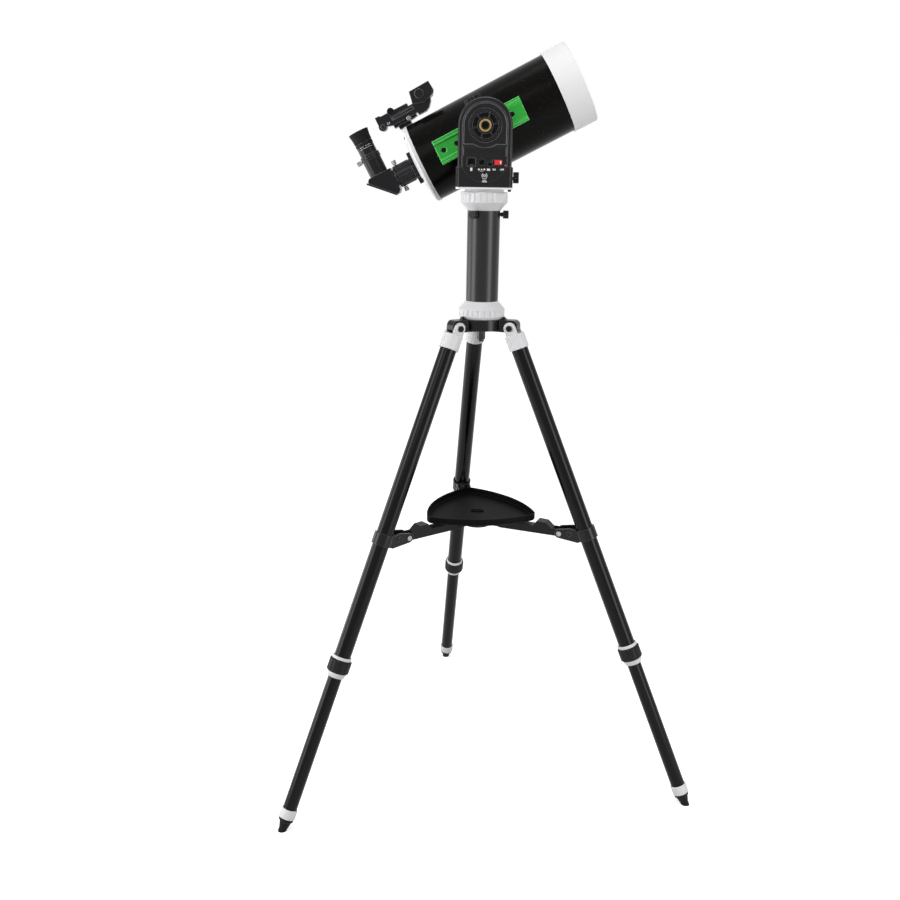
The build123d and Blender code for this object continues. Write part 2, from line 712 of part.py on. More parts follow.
# ---- mount: base plate and lower housing
plateBottom = PLATFORM_TOP + FREE_GAP
housingBottom = plateBottom + BASE_PLATE_T
housingMiddle = (HOUSING_FRONT + HOUSING_BACK) / 2
with BuildPart() as basePlate:
    with BuildSketch(Plane.XY.offset(plateBottom)) as plateOutline:
        with Locations((0, housingMiddle)):
            Rectangle(2 * HOUSING_HALF_X, HOUSING_BACK - HOUSING_FRONT)
        chamfer(plateOutline.vertices(), EDGE_BEVEL)
        Circle(SPINDLE_R + RUN_FIT, mode=Mode.SUBTRACT)
    extrude(amount=BASE_PLATE_T)
save(basePlate, "base_plate")

azPlane = Plane.YZ.offset(HOUSING_HALF_X)
with BuildPart() as lowerHousing:
    with BuildSketch(Plane.XY.offset(housingBottom)) as housingOutline:
        with Locations((0, housingMiddle)):
            Rectangle(2 * HOUSING_HALF_X, HOUSING_BACK - HOUSING_FRONT)
        chamfer(housingOutline.vertices(), EDGE_BEVEL)
    extrude(amount=HOUSING_TOP - housingBottom)
    chamfer(lowerHousing.faces().sort_by(Axis.Z)[-1].edges(), 1.5)
    with BuildSketch(Plane.XY.offset(housingBottom)):
        Circle(SPINDLE_R + RUN_FIT)
    extrude(amount=SPINDLE_TOP + 1 - housingBottom, mode=Mode.SUBTRACT)
    with BuildSketch(azPlane):
        with Locations((0, AZ_KNOB_Z)):
            Circle(PIER_SCREW_R + RUN_FIT)
    extrude(amount=-12, mode=Mode.SUBTRACT)
save(lowerHousing, "lower_housing")

# ---- azimuth clutch knob: three lobes on a screw
with BuildPart() as azimuthKnob:
    with BuildSketch(azPlane.offset(-11)):
        with Locations((0, AZ_KNOB_Z)):
            Circle(PIER_SCREW_R)
    extrude(amount=12)
    with BuildSketch(azPlane.offset(1)):
        with Locations((0, AZ_KNOB_Z)):
            Circle(AZ_KNOB_R * 0.62)
            with PolarLocations(AZ_KNOB_R * 0.58, 3, start_angle=90):
                Circle(AZ_KNOB_R * 0.42)
    extrude(amount=AZ_KNOB_LENGTH)
save(azimuthKnob, "azimuth_knob")


# ---- arm: an arched slab with a raised front panel, the wheel recess and the sockets
def front_at(y):
    # drawn as (x, z); extruding goes towards -Y
    return Plane(origin=(0, y, 0), x_dir=(1, 0, 0), z_dir=(0, -1, 0))


panelFront = HOUSING_FRONT - PANEL_PROUD
recessFloor = HOUSING_FRONT + WHEEL_RECESS_DEPTH
armHalf = ARM_WIDTH / 2
portFloor = panelFront + PORT_DEPTH
shutterZ = PORT_Z - SHUTTER_DROP
coveR = (COVE_HALF ** 2 + COVE_DEPTH ** 2) / (2 * COVE_DEPTH)
with BuildPart() as armHousing:
    with BuildSketch(front_at(ARM_BACK)):
        with Locations((0, ALT_Z)):
            Circle(armHalf)
        with Locations((0, (ALT_Z + HOUSING_TOP) / 2)):
            Rectangle(ARM_WIDTH, ALT_Z - HOUSING_TOP)
    extrude(amount=ARM_BACK - HOUSING_FRONT)
    frontEdges = armHousing.faces().sort_by(Axis.Y)[0].edges()
    fillet(frontEdges.filter_by(lambda e: e.center().Z > HOUSING_TOP + 1), ARM_ROUNDING)
    backEdges = armHousing.faces().sort_by(Axis.Y)[-1].edges()
    chamfer(backEdges.filter_by(lambda e: e.center().Z > HOUSING_TOP + 1), 3)
    # raised panel, running down over the lower housing to a rounded end
    with BuildSketch(front_at(HOUSING_FRONT)):
        with Locations((0, ALT_Z)):
            Circle(PANEL_HALF)
        with Locations((0, (ALT_Z + HOUSING_TOP) / 2)):
            Rectangle(2 * PANEL_HALF, ALT_Z - HOUSING_TOP)
        with BuildLine():
            base = Line((PANEL_HALF, HOUSING_TOP), (-PANEL_HALF, HOUSING_TOP))
            ThreePointArc(base @ 1, (0, PANEL_BOTTOM), base @ 0)
        make_face()
    extrude(amount=PANEL_PROUD)
    fillet(armHousing.faces().sort_by(Axis.Y)[0].edges(), PANEL_EDGE)
    # the wheel stands in a sunk upper field above a ledge, with a scoop under it
    with BuildSketch(front_at(panelFront + FIELD_DEPTH)):
        with Locations((0, ALT_Z)):
            Circle(PANEL_HALF - PANEL_RIDGE)
        with Locations((0, (ALT_Z + PANEL_STEP_Z) / 2)):
            Rectangle(2 * (PANEL_HALF - PANEL_RIDGE), ALT_Z - PANEL_STEP_Z)
    extrude(amount=2 * FIELD_DEPTH, mode=Mode.SUBTRACT)
    with BuildSketch(Plane.YZ):
        with Locations((panelFront + COVE_DEPTH - coveR, PANEL_STEP_Z - 2 - COVE_HALF)):
            Circle(coveR)
    extrude(amount=PANEL_HALF - PANEL_RIDGE, both=True, mode=Mode.SUBTRACT)
    with BuildSketch(front_at(recessFloor)):
        with Locations((0, ALT_Z)):
            Circle(WHEEL_RECESS_R)
    extrude(amount=40, mode=Mode.SUBTRACT)
    with BuildSketch(front_at(ARM_BACK + 1)):
        with Locations((0, ALT_Z)):
            Circle(SHAFT_R + RUN_FIT)
    extrude(amount=120, mode=Mode.SUBTRACT)
    with BuildSketch(front_at(portFloor)):
        with Locations((SOCKET_X, PORT_Z)):
            Rectangle(SOCKET_WIDTH, SOCKET_HEIGHT)
        with Locations((JACK_X, PORT_Z)):
            Circle(JACK_R)
        with Locations((SHUTTER_X, shutterZ)):
            Circle(SHUTTER_R)
    extrude(amount=2 * PORT_DEPTH, mode=Mode.SUBTRACT)
    with BuildSketch(front_at(panelFront + SWITCH_SEAT)):
        with Locations((SWITCH_X - SWITCH_TRAVEL / 2, PORT_Z)):
            Rectangle(SWITCH_WIDTH + SWITCH_TRAVEL + 2 * FREE_GAP, SWITCH_HEIGHT + 2 * FREE_GAP)
    extrude(amount=2 * SWITCH_SEAT, mode=Mode.SUBTRACT)
save(armHousing, "arm_housing")

# ---- sockets of the front panel: handset, power and shutter release
with BuildPart() as panelSockets:
    with BuildSketch(front_at(portFloor)):
        with Locations((SOCKET_X, PORT_Z)):
            Rectangle(SOCKET_WIDTH, SOCKET_HEIGHT)
    extrude(amount=PORT_DEPTH)
    # a modular jack: wide mouth, then the two steps of its latch
    with BuildSketch(front_at(portFloor - 3)):
        with Locations((SOCKET_X, PORT_Z - 1.5)):
            Rectangle(10, 7)
        with Locations((SOCKET_X, PORT_Z + 3)):
            Rectangle(6, 3)
        with Locations((SOCKET_X, PORT_Z + 4.5)):
            Rectangle(3, 2)
    extrude(amount=PORT_DEPTH, mode=Mode.SUBTRACT)
    with BuildSketch(front_at(portFloor)):
        with Locations((JACK_X, PORT_Z)):
            Circle(JACK_R)
        with Locations((SHUTTER_X, shutterZ)):
            Circle(SHUTTER_R)
    extrude(amount=PORT_DEPTH + 0.4)
    with BuildSketch(front_at(portFloor - PORT_DEPTH / 2)):
        with Locations((JACK_X, PORT_Z)):
            Circle(JACK_BORE_R)
            Circle(JACK_PIN_R, mode=Mode.SUBTRACT)
        with Locations((SHUTTER_X, shutterZ)):
            Circle(SHUTTER_BORE_R)
    extrude(amount=PORT_DEPTH, mode=Mode.SUBTRACT)
save(panelSockets, "panel_sockets")

with BuildPart() as powerSwitch:
    with BuildSketch(front_at(panelFront + SWITCH_SEAT - FREE_GAP)):
        with Locations((SWITCH_X, PORT_Z)):
            Rectangle(SWITCH_WIDTH, SWITCH_HEIGHT)
    extrude(amount=SWITCH_SEAT + 1)
    with BuildSketch(front_at(panelFront - 1.3)):
        with Locations((SWITCH_X - 3, PORT_Z), (SWITCH_X, PORT_Z), (SWITCH_X + 3, PORT_Z)):
            Rectangle(1, SWITCH_HEIGHT - 1)
    extrude(amount=0.7)
save(powerSwitch, "power_switch")

# ---- altitude clutch wheel: scalloped rim, spokes and a hub on the brass bush
with BuildPart() as clutchWheel:
    with BuildSketch(front_at(recessFloor - FREE_GAP)):
        with Locations((0, ALT_Z)):
            Circle(WHEEL_R)
            with PolarLocations(WHEEL_R + 1.6, 20):
                Circle(2.4, mode=Mode.SUBTRACT)
            Circle(WHEEL_R - WHEEL_RIM, mode=Mode.SUBTRACT)
    extrude(amount=WHEEL_T)
    with BuildSketch(front_at(recessFloor - FREE_GAP)):
        with Locations((0, ALT_Z)):
            Circle(WHEEL_HUB_R)
            Circle(BUSH_R + RUN_FIT, mode=Mode.SUBTRACT)
    extrude(amount=WHEEL_T)
    with BuildSketch(front_at(recessFloor - FREE_GAP)):
        with Locations((0, ALT_Z)):
            Circle(WHEEL_R - 1)
            Circle(BUSH_R + 1, mode=Mode.SUBTRACT)
    extrude(amount=3)
    with BuildSketch(front_at(recessFloor - FREE_GAP)):
        with Locations((0, ALT_Z)):
            with PolarLocations((WHEEL_HUB_R + WHEEL_R - WHEEL_RIM) / 2, WHEEL_SPOKES, start_angle=10):
                Rectangle(WHEEL_R - WHEEL_RIM - WHEEL_HUB_R + 2, 2)
    extrude(amount=WHEEL_T - 2.5)
save(clutchWheel, "clutch_wheel")

with BuildPart() as clutchBush:
    with BuildSketch(front_at(BUSH_BACK)):
        with Locations((0, ALT_Z)):
            Circle(BUSH_R)
    extrude(amount=BUSH_BACK - BUSH_FRONT)
    with BuildSketch(front_at(BUSH_FRONT)):
        with Locations((0, ALT_Z)):
            Circle(BUSH_BORE_R)
    extrude(amount=-BUSH_DEPTH, mode=Mode.SUBTRACT)
save(clutchBush, "clutch_bush")

with BuildPart() as altitudeShaft:
    with BuildSketch(front_at(saddleFront)):
        with Locations((0, ALT_Z)):
            Circle(SHAFT_R)
    extrude(amount=saddleFront - BUSH_BACK)
save(altitudeShaft, "altitude_shaft")

# ---- saddle: plate, fixed lower jaw, and a lug for the clamp screw

def bar_half(y):
    # the bar narrows away from the saddle
    return BAR_HALF - (y - barFront) * tan(radians(BAR_FLARE))


with BuildPart() as saddle:
    with BuildSketch(side_at(SADDLE_BACK)) as saddleOutline:
        with Locations((0, (SADDLE_LOW + SADDLE_HIGH) / 2)):
            Rectangle(2 * SADDLE_HALF, SADDLE_HIGH - SADDLE_LOW)
        fillet(saddleOutline.vertices(), 6)
    extrude(amount=SADDLE_BACK - saddleFront)
    with BuildSketch(tube_cross(-SADDLE_HALF + 3, 0)):
        with BuildLine():
            Polyline((SADDLE_BACK - 1, SADDLE_LOW + 3),
                     (SADDLE_BACK - 1, -bar_half(SADDLE_BACK) - FREE_GAP),
                     (jawEnd, -bar_half(jawEnd) - FREE_GAP), (jawEnd, SADDLE_LOW + 3), close=True)
        make_face()
    extrude(amount=2 * SADDLE_HALF - 6)
    with BuildSketch(tube_cross(-12, 0)):
        with Locations((SADDLE_BACK - 1, LUG_START)):
            Rectangle(JAW_DEPTH + 1, SADDLE_HIGH - LUG_START, align=(Align.MIN, Align.MIN))
    extrude(amount=24)
    screwY = SADDLE_BACK + JAW_DEPTH / 2
    screwPlane = Plane(origin=Vector(0, screwY, ALT_Z), x_dir=(0, 1, 0), z_dir=upDir)
    with BuildSketch(screwPlane.offset(LUG_START - 1)):
        Circle(SADDLE_SCREW_R + RUN_FIT)
    extrude(amount=SADDLE_HIGH - LUG_START + 2, mode=Mode.SUBTRACT)
save(saddle, "saddle")

with BuildPart() as saddleJaw:
    with BuildSketch(tube_cross(-24, 0)):
        with BuildLine():
            Polyline((barFront, bar_half(barFront) + FREE_GAP), (jawEnd, bar_half(jawEnd) + FREE_GAP),
                     (jawEnd, JAW_TOP), (barFront, JAW_TOP), close=True)
        make_face()
    extrude(amount=48)
    with BuildSketch(screwPlane.offset(JAW_TOP - 5)):
        Circle(SADDLE_SCREW_R + FREE_GAP)
    extrude(amount=6, mode=Mode.SUBTRACT)
save(saddleJaw, "saddle_jaw")

with BuildPart() as saddleKnob:
    with BuildSketch(screwPlane.offset(JAW_TOP - 2)):
        Circle(SADDLE_SCREW_R)
    extrude(amount=SADDLE_KNOB_START - JAW_TOP + 3)
    with BuildSketch(screwPlane.offset(SADDLE_KNOB_START)):
        Circle(SADDLE_KNOB_R)
        with PolarLocations(SADDLE_KNOB_R + 1, 14):
            Circle(2.4, mode=Mode.SUBTRACT)
    extrude(amount=SADDLE_KNOB_END - SADDLE_KNOB_START)
save(saddleKnob, "saddle_knob")

# ---- dovetail bar with a sunk face and two feet shaped to the tube
with BuildPart() as dovetailBar:
    with BuildSketch(tube_cross(BAR_START, 0)):
        with BuildLine():
            Polyline((barFront, -BAR_HALF), (barFront, -14), (barFront + 3.5, -12.5),
                     (barFront + 3.5, 12.5),
                     (barFront, 14), (barFront, BAR_HALF), (barBack, bar_half(barBack)),
                     (barBack, -bar_half(barBack)), close=True)
        make_face()
    extrude(amount=BAR_END - BAR_START)
    with BuildSketch(tube_cross(BAR_START, 0)):
        with Locations((barFront, BAR_GROOVE_N), (barFront, -BAR_GROOVE_N)):
            Rectangle(2 * BAR_GROOVE, BAR_GROOVE)
    extrude(amount=BAR_END - BAR_START, mode=Mode.SUBTRACT)
    for start in (BAR_START + 8, BAR_END - 42):
        with BuildSketch(tube_cross(start, 0)):
            with Locations((barBack - 1, 0)):
                Rectangle(12, 28, align=(Align.MIN, Align.CENTER))
        extrude(amount=34)
    with BuildSketch(tube_cross(BAR_START)):
        Circle(TUBE_R)
    extrude(amount=BAR_END - BAR_START, mode=Mode.SUBTRACT)
    with BuildSketch(side_at(barFront + 7.5)):
        with Locations(*((s, 0) for s in BAR_HOLES)):
            Circle(4.8)
    extrude(amount=20, mode=Mode.SUBTRACT)
    with BuildSketch(side_at(barFront + 7.5)):
        with Locations(*((s, 0) for s in BAR_HOLES)):
            Circle(4.4)
            RegularPolygon(2.3, 6, mode=Mode.SUBTRACT)
    extrude(amount=3.4)
save(dovetailBar, "dovetail_bar")

# ---- optical tube, its two cells and the optics
side = side_at(tubeY)
opticalTube = turned(side, tubeAxis, (
    (TUBE_START, TUBE_R - TUBE_SHEET), (TUBE_START, TUBE_R), (TUBE_END, TUBE_R),
    (TUBE_END, TUBE_R - TUBE_SHEET)))
save(opticalTube, "optical_tube")

frontCell = turned(side, tubeAxis, (
    (TUBE_END - 6, TUBE_R - TUBE_SHEET - 3), (TUBE_END - 6, TUBE_R - TUBE_SHEET),
    (TUBE_END, TUBE_R - TUBE_SHEET), (TUBE_END, frontCellR), (FRONT_CELL_END - 1.5, frontCellR),
    (FRONT_CELL_END, frontCellR - 1), (FRONT_CELL_END, cellBore + 0.6), (FRONT_CELL_END - 1, cellBore),
    (correctorEnd + 3, cellBore), (correctorEnd + 2, correctorR - 2), (correctorEnd, correctorR - 2),
    (correctorEnd, correctorR), (CORRECTOR_START, correctorR), (CORRECTOR_START, correctorR - 3)))
save(frontCell, "front_cell")

# steep meniscus: both faces bow towards the inside of the tube
with BuildPart() as corrector:
    with BuildSketch(side):
        with BuildLine():
            outer = ThreePointArc((correctorEnd, -correctorR + 2), (correctorEnd - CORRECTOR_SAG, 0),
                                  (correctorEnd, correctorR - 2))
            inner = ThreePointArc((CORRECTOR_START, correctorR - 3),
                                  (CORRECTOR_START - CORRECTOR_SAG - 2, 0),
                                  (CORRECTOR_START, -correctorR + 3))
            Polyline(outer @ 1, (correctorEnd, correctorR), (CORRECTOR_START, correctorR), inner @ 0)
            Polyline(inner @ 1, (CORRECTOR_START, -correctorR), (correctorEnd, -correctorR), outer @ 0)
        make_face()
        with Locations((CORRECTOR_START, 0)):
            Rectangle(80, 2 * correctorR, align=(Align.CENTER, Align.MAX), mode=Mode.SUBTRACT)
    revolve(axis=tubeAxis)
save(corrector, "corrector_lens")

focusHole = tube_point(rearBack - 1, FOCUS_N, FOCUS_Y)
with BuildPart() as rearCell:
    with BuildSketch(side):
        with BuildLine():
            Polyline((TUBE_START + 6, TUBE_R - TUBE_SHEET), (TUBE_START, TUBE_R - TUBE_SHEET),
                     (TUBE_START, rearCellR), (rearFace + 3, rearCellR), (rearFace, rearCellR - 3),
                     (rearBack, rearCellR - 30), (rearBack, BAFFLE_R), (rearBack + 8, BAFFLE_R),
                     (TUBE_START, rearCellR - 24), (TUBE_START + 6, TUBE_R - TUBE_SHEET - 3), close=True)
        make_face()
    revolve(axis=tubeAxis)
    with BuildSketch(Plane(origin=focusHole, x_dir=(0, 1, 0), z_dir=tubeDir)):
        Circle(PIER_SCREW_R + RUN_FIT)
    extrude(amount=30, mode=Mode.SUBTRACT)
save(rearCell, "rear_cell")

mirror = turned(side, tubeAxis, (
    (MIRROR_START, BAFFLE_R + FREE_GAP), (MIRROR_START, mirrorR), (MIRROR_START + MIRROR_T, mirrorR),
    (MIRROR_START + MIRROR_T - 5, BAFFLE_R + FREE_GAP)))
save(mirror, "primary_mirror")

baffle = turned(side, tubeAxis, (
    (rearBack, BAFFLE_BORE_R), (rearBack, BAFFLE_R), (BAFFLE_END - 60, BAFFLE_R),
    (BAFFLE_END, BAFFLE_BORE_R - 1), (BAFFLE_END, BAFFLE_BORE_R - 2), (BAFFLE_END - 60, BAFFLE_BORE_R)))
save(baffle, "baffle_tube")

# ---- focus knob: turns a screw that pushes the mirror
with BuildPart() as focusKnob:
    focusPlane = Plane(origin=tube_point(rearBack - 3 - FOCUS_LENGTH, FOCUS_N, FOCUS_Y), x_dir=(0, 1, 0),
                       z_dir=tubeDir)
    with BuildSketch(focusPlane):
        Circle(FOCUS_R)
        with PolarLocations(FOCUS_R + 0.9, 12):
            Circle(1.8, mode=Mode.SUBTRACT)
    extrude(amount=FOCUS_LENGTH)
    with BuildSketch(focusPlane):
        Circle(PIER_SCREW_R)
    extrude(amount=FOCUS_LENGTH + 3 + REAR_CELL_DOME + REAR_CELL_RIM + 3)
save(focusKnob, "focus_knob")

# ---- visual back: lobed lock ring and a barrel with grip flats
ringBack = rearBack - VISUAL_RING_T
with BuildPart() as visualBack:
    with BuildSketch(tube_cross(ringBack)):
        Circle(VISUAL_RING_R)
        with PolarLocations(VISUAL_LOBE_AT, VISUAL_LOBES, start_angle=90):
            Circle(VISUAL_LOBE_R)
    extrude(amount=VISUAL_RING_T - FREE_GAP)
    with BuildSketch(tube_cross(rearBack - FREE_GAP)):
        Circle(BAFFLE_R)
    extrude(amount=FREE_GAP)
    with BuildSketch(tube_cross(VISUAL_END)):
        Circle(VISUAL_R)
        with PolarLocations(VISUAL_R + 3.5, 10):
            Circle(4.6, mode=Mode.SUBTRACT)
    extrude(amount=ringBack - VISUAL_END - 3)
    with BuildSketch(tube_cross(VISUAL_END)):
        Circle(VISUAL_R - 1.2)
    extrude(amount=ringBack - VISUAL_END)
    with BuildSketch(tube_cross(VISUAL_END)):
        Circle(VISUAL_R)
    extrude(amount=6)
    with BuildSketch(tube_cross(VISUAL_END)):
        Circle(BARREL_R + RUN_FIT)
    extrude(amount=rearBack - VISUAL_END - 4, mode=Mode.SUBTRACT)
    with BuildSketch(tube_cross(VISUAL_END)):
        Circle(BAFFLE_BORE_R)
    extrude(amount=rearBack - VISUAL_END + 5, mode=Mode.SUBTRACT)
    with BuildSketch(Plane(origin=tube_point(BACK_SCREW_S), z_dir=upDir)):
        Circle(SCREW_R)
    extrude(amount=2 * VISUAL_R, both=True, mode=Mode.SUBTRACT)
save(visualBack, "visual_back")


# ---- thumbscrews: two on the visual back and one on the eyepiece holder
def thumbscrew(centre, way, start):
    # the screw points at centre; start is where its knurled head begins, measured from there
    spot = Plane(origin=centre, z_dir=way)
    with BuildPart() as piece:
        with BuildSketch(spot.offset(BARREL_R + RUN_FIT)):
            Circle(SCREW_R)
        extrude(amount=start - BARREL_R)
        with BuildSketch(spot.offset(start)):
            Circle(SCREW_HEAD_R)
        extrude(amount=1.2)
        with BuildSketch(spot.offset(start + 1.2)):
            Circle(SCREW_HEAD_R - 1.2)
        extrude(amount=1.2)
        with BuildSketch(spot.offset(start + 2.4)):
            Circle(SCREW_HEAD_R)
            with PolarLocations(SCREW_HEAD_R + 0.4, 14):
                Circle(0.75, mode=Mode.SUBTRACT)
        extrude(amount=SCREW_HEAD_LENGTH)
    return piece


with BuildPart() as backScrews:
    add(thumbscrew(tube_point(BACK_SCREW_S), upDir, VISUAL_R + 1).part)
    add(thumbscrew(tube_point(BACK_SCREW_S), -upDir, VISUAL_R + 1).part)
save(backScrews, "back_screws")
holderScrew = thumbscrew(tube_point(EYE_S, HOLDER_SCREW_N), -tubeDir, DIAGONAL_RING_R + 1)
save(holderScrew, "holder_screw")

# ---- star diagonal: prism housing, nosepiece and eyepiece holder
eyeAxis = Axis(tube_point(EYE_S), upDir)
eyePlane = Plane(origin=tube_point(EYE_S), x_dir=(0, 1, 0), z_dir=upDir)
prismOutline = ((EYE_S + PRISM_HALF, PRISM_HALF), (EYE_S + PRISM_HALF, -PRISM_HALF),
                (EYE_S - PRISM_HALF, PRISM_HALF))
backing = DIAGONAL_BACKING * 2 ** 0.5
low = EYE_S - backing - (DIAGONAL_FRONT - 8)
rear = EYE_S - backing - DIAGONAL_TOP + 8


def on_slope(s, out):
    # a point beside the sloping side of the housing; out is the distance from it
    step = out / 2 ** 0.5
    return (s - step, EYE_S - backing - s - step)


with BuildPart() as diagonalBody:
    with BuildSketch(side_at(tubeY + DIAGONAL_HALF)):
        with BuildLine():
            Polyline((DIAGONAL_FRONT, DIAGONAL_TOP), (DIAGONAL_FRONT, low + 5), (DIAGONAL_FRONT - 5, low),
                     (DIAGONAL_FRONT - 8, low), (rear, DIAGONAL_TOP - 8), (rear, DIAGONAL_TOP - 4),
                     (rear + 4, DIAGONAL_TOP), close=True)
        make_face()
    extrude(amount=2 * DIAGONAL_HALF)
    # cover plate along the sloping side, a little longer than the housing
    with BuildSketch(side_at(tubeY + DIAGONAL_HALF - 1)):
        with BuildLine():
            Polyline(on_slope(DIAGONAL_FRONT - 9, 0), on_slope(rear - 3, 0),
                     on_slope(rear - 3, DIAGONAL_COVER),
                     on_slope(DIAGONAL_FRONT - 9, DIAGONAL_COVER), close=True)
        make_face()
    extrude(amount=2 * DIAGONAL_HALF - 2)
    with BuildSketch(eyePlane.offset(DIAGONAL_TOP - 1)):
        Circle(DIAGONAL_TUBE_R)
    extrude(amount=DIAGONAL_TUBE_TOP - DIAGONAL_TOP + 1)
    with BuildSketch(eyePlane.offset(DIAGONAL_TUBE_TOP)):
        Circle(DIAGONAL_RING_R)
    extrude(amount=DIAGONAL_RING_T)
    with BuildSketch(tube_cross(DIAGONAL_FRONT)):
        Circle(BARREL_R)
    extrude(amount=24)
    # light path: through the nosepiece, the prism seat and the holder
    with BuildSketch(tube_cross(EYE_S + PRISM_HALF)):
        Circle(PRISM_HALF - 0.5)
    extrude(amount=80, mode=Mode.SUBTRACT)
    with BuildSketch(eyePlane.offset(PRISM_HALF)):
        Circle(PRISM_HALF - 0.5)
    extrude(amount=80, mode=Mode.SUBTRACT)
    with BuildSketch(eyePlane.offset(24)):
        Circle(BARREL_R + RUN_FIT)
    extrude(amount=60, mode=Mode.SUBTRACT)
    with BuildSketch(side_at(tubeY + PRISM_HALF)):
        with BuildLine():
            Polyline(*prismOutline, close=True)
        make_face()
    extrude(amount=2 * PRISM_HALF, mode=Mode.SUBTRACT)
    with BuildSketch(Plane(origin=tube_point(EYE_S, HOLDER_SCREW_N), z_dir=-tubeDir)):
        Circle(SCREW_R)
    extrude(amount=2 * DIAGONAL_RING_R, mode=Mode.SUBTRACT)
save(diagonalBody, "diagonal_body")

with BuildPart() as prism:
    with BuildSketch(side_at(tubeY + PRISM_HALF)):
        with BuildLine():
            Polyline(*prismOutline, close=True)
        make_face()
    extrude(amount=2 * PRISM_HALF)
save(prism, "diagonal_prism")

holderTop = DIAGONAL_TUBE_TOP + DIAGONAL_RING_T
eyeSide = Plane(origin=tube_point(EYE_S), x_dir=upDir, z_dir=(0, 1, 0))
barrel = turned(eyeSide, eyeAxis, (
    (holderTop - EYEPIECE_INSERT, 12.5), (holderTop - EYEPIECE_INSERT, BARREL_R),
    (holderTop + 0.6, BARREL_R),
    (holderTop + 0.6, EYEPIECE_R + 2.4), (holderTop + 4, EYEPIECE_R + 2.4), (holderTop + 5, EYEPIECE_R),
    (CUP_START - 1, EYEPIECE_R), (CUP_START - 1, EYEPIECE_R - 1.2), (EYEPIECE_TOP, EYEPIECE_R - 1.2),
    (EYEPIECE_TOP, 7), (EYEPIECE_TOP - 3, 7), (EYEPIECE_TOP - 3, 0), (EYEPIECE_TOP - 8, 0),
    (EYEPIECE_TOP - 8, 12.5)))

cupIn = EYEPIECE_R - 1.2
cup = turned(eyeSide, eyeAxis, (
    (CUP_START, cupIn), (CUP_START, EYEPIECE_R + 0.6), (CUP_START + 8, EYEPIECE_R + 0.8),
    (CUP_TOP, CUP_R), (CUP_TOP, CUP_R - CUP_WALL),
    (EYEPIECE_TOP + 0.5, cupIn + 0.4), (EYEPIECE_TOP, cupIn)))
with BuildPart() as eyepiece:
    add(barrel.part)
    add(cup.part)
save(eyepiece, "eyepiece")

# ---- red dot finder: heights are measured from the top of its shoe
shoeTop = TUBE_R + SHOE_HEIGHT
finderFloor = shoeTop + SHOE_PLATE + FREE_GAP
sightLine = finderFloor + 27
finderChin = SHOE_END + 16 + 2      # the chin hangs in front of the bracket
with BuildPart() as finderBracket:
    with BuildSketch(tube_cross(SHOE_START)):
        with Locations((0, shoeTop)):
            Rectangle(2 * SHOE_HALF, 2 * SHOE_HEIGHT, align=(Align.CENTER, Align.MAX))
    extrude(amount=SHOE_END - SHOE_START)
    with BuildSketch(side_at(tubeY + FINDER_HALF)):
        with BuildLine():
            Polyline((SHOE_START - 8, shoeTop - 1), (SHOE_START - 8, shoeTop + SHOE_PLATE),
                     (SHOE_END + 13, shoeTop + SHOE_PLATE), (SHOE_END + 16, shoeTop + 1),
                     (SHOE_END + 6, shoeTop - 1), close=True)
        make_face()
    extrude(amount=2 * FINDER_HALF)
    with BuildSketch(tube_cross(SHOE_START - 20)):
        Circle(rearCellR)
    extrude(amount=80, mode=Mode.SUBTRACT)
save(finderBracket, "finder_bracket")

with BuildPart() as finderBody:
    # slab with the battery and the emitter, with a rounded battery end
    with BuildSketch(side_at(tubeY + FINDER_HALF)):
        with BuildLine():
            Polyline((-174, finderFloor + 8), (-174, finderFloor + 26), (-165, finderFloor + 26),
                     (-165, finderFloor + 24), (-101, finderFloor + 23), (-88, finderFloor + 23),
                     (-66, finderFloor + 14), (-69, finderFloor + 7), (-76, finderFloor - 1),
                     (-84, finderFloor - 5), (finderChin, finderFloor - 5), (finderChin, finderFloor),
                     (-150, finderFloor), (-162, finderFloor + 4), close=True)
        make_face()
        with Locations((-168, finderFloor + 6)):
            Circle(7.5)
    extrude(amount=2 * FINDER_HALF)
    # window hood round the lens
    with BuildSketch(side_at(tubeY + FINDER_WINDOW_HALF)):
        with BuildLine():
            Polyline((-101, finderFloor + 16), (-97, finderFloor + 38), (-57.5, finderFloor + 39),
                     (-56, finderFloor + 24), (-62, finderFloor + 15), (-80, finderFloor + 10), close=True)
        make_face()
        with Locations((-82, sightLine)):
            Circle(9)
    extrude(amount=2 * FINDER_WINDOW_HALF)
    # clear view through the hood
    with BuildSketch(tube_cross(-110)):
        with Locations((0, sightLine)):
            Rectangle(2 * FINDER_WINDOW_HALF - 5, 19)
    extrude(amount=70, mode=Mode.SUBTRACT)
    for way in (1, -1):
        with BuildSketch(side_at(tubeY + way * FINDER_WINDOW_HALF)):
            with Locations((-82, sightLine)):
                Circle(8)
        extrude(amount=-way * 1.5)
save(finderBody, "finder_body")

with BuildPart() as finderWindow:
    with BuildSketch(side_at(tubeY + FINDER_WINDOW_HALF - 2.5)):
        with BuildLine():
            Polyline((-66, sightLine - 9.5), (-68.5, sightLine - 9.5), (-73.5, sightLine + 9.5),
                     (-71, sightLine + 9.5), close=True)
        make_face()
    extrude(amount=2 * FINDER_WINDOW_HALF - 5)
save(finderWindow, "finder_window")

with BuildPart() as finderDial:
    with BuildSketch(side_at(tubeY - FINDER_HALF - FREE_GAP)):
        with Locations((FINDER_DIAL_S, finderFloor + 23)):
            Circle(FINDER_DIAL_R)
            with PolarLocations(FINDER_DIAL_R + 0.5, 12):
                Circle(0.9, mode=Mode.SUBTRACT)
    extrude(amount=4.5)
save(finderDial, "finder_dial")
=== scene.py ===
import json
import math

import bpy
from mathutils import Matrix, Vector

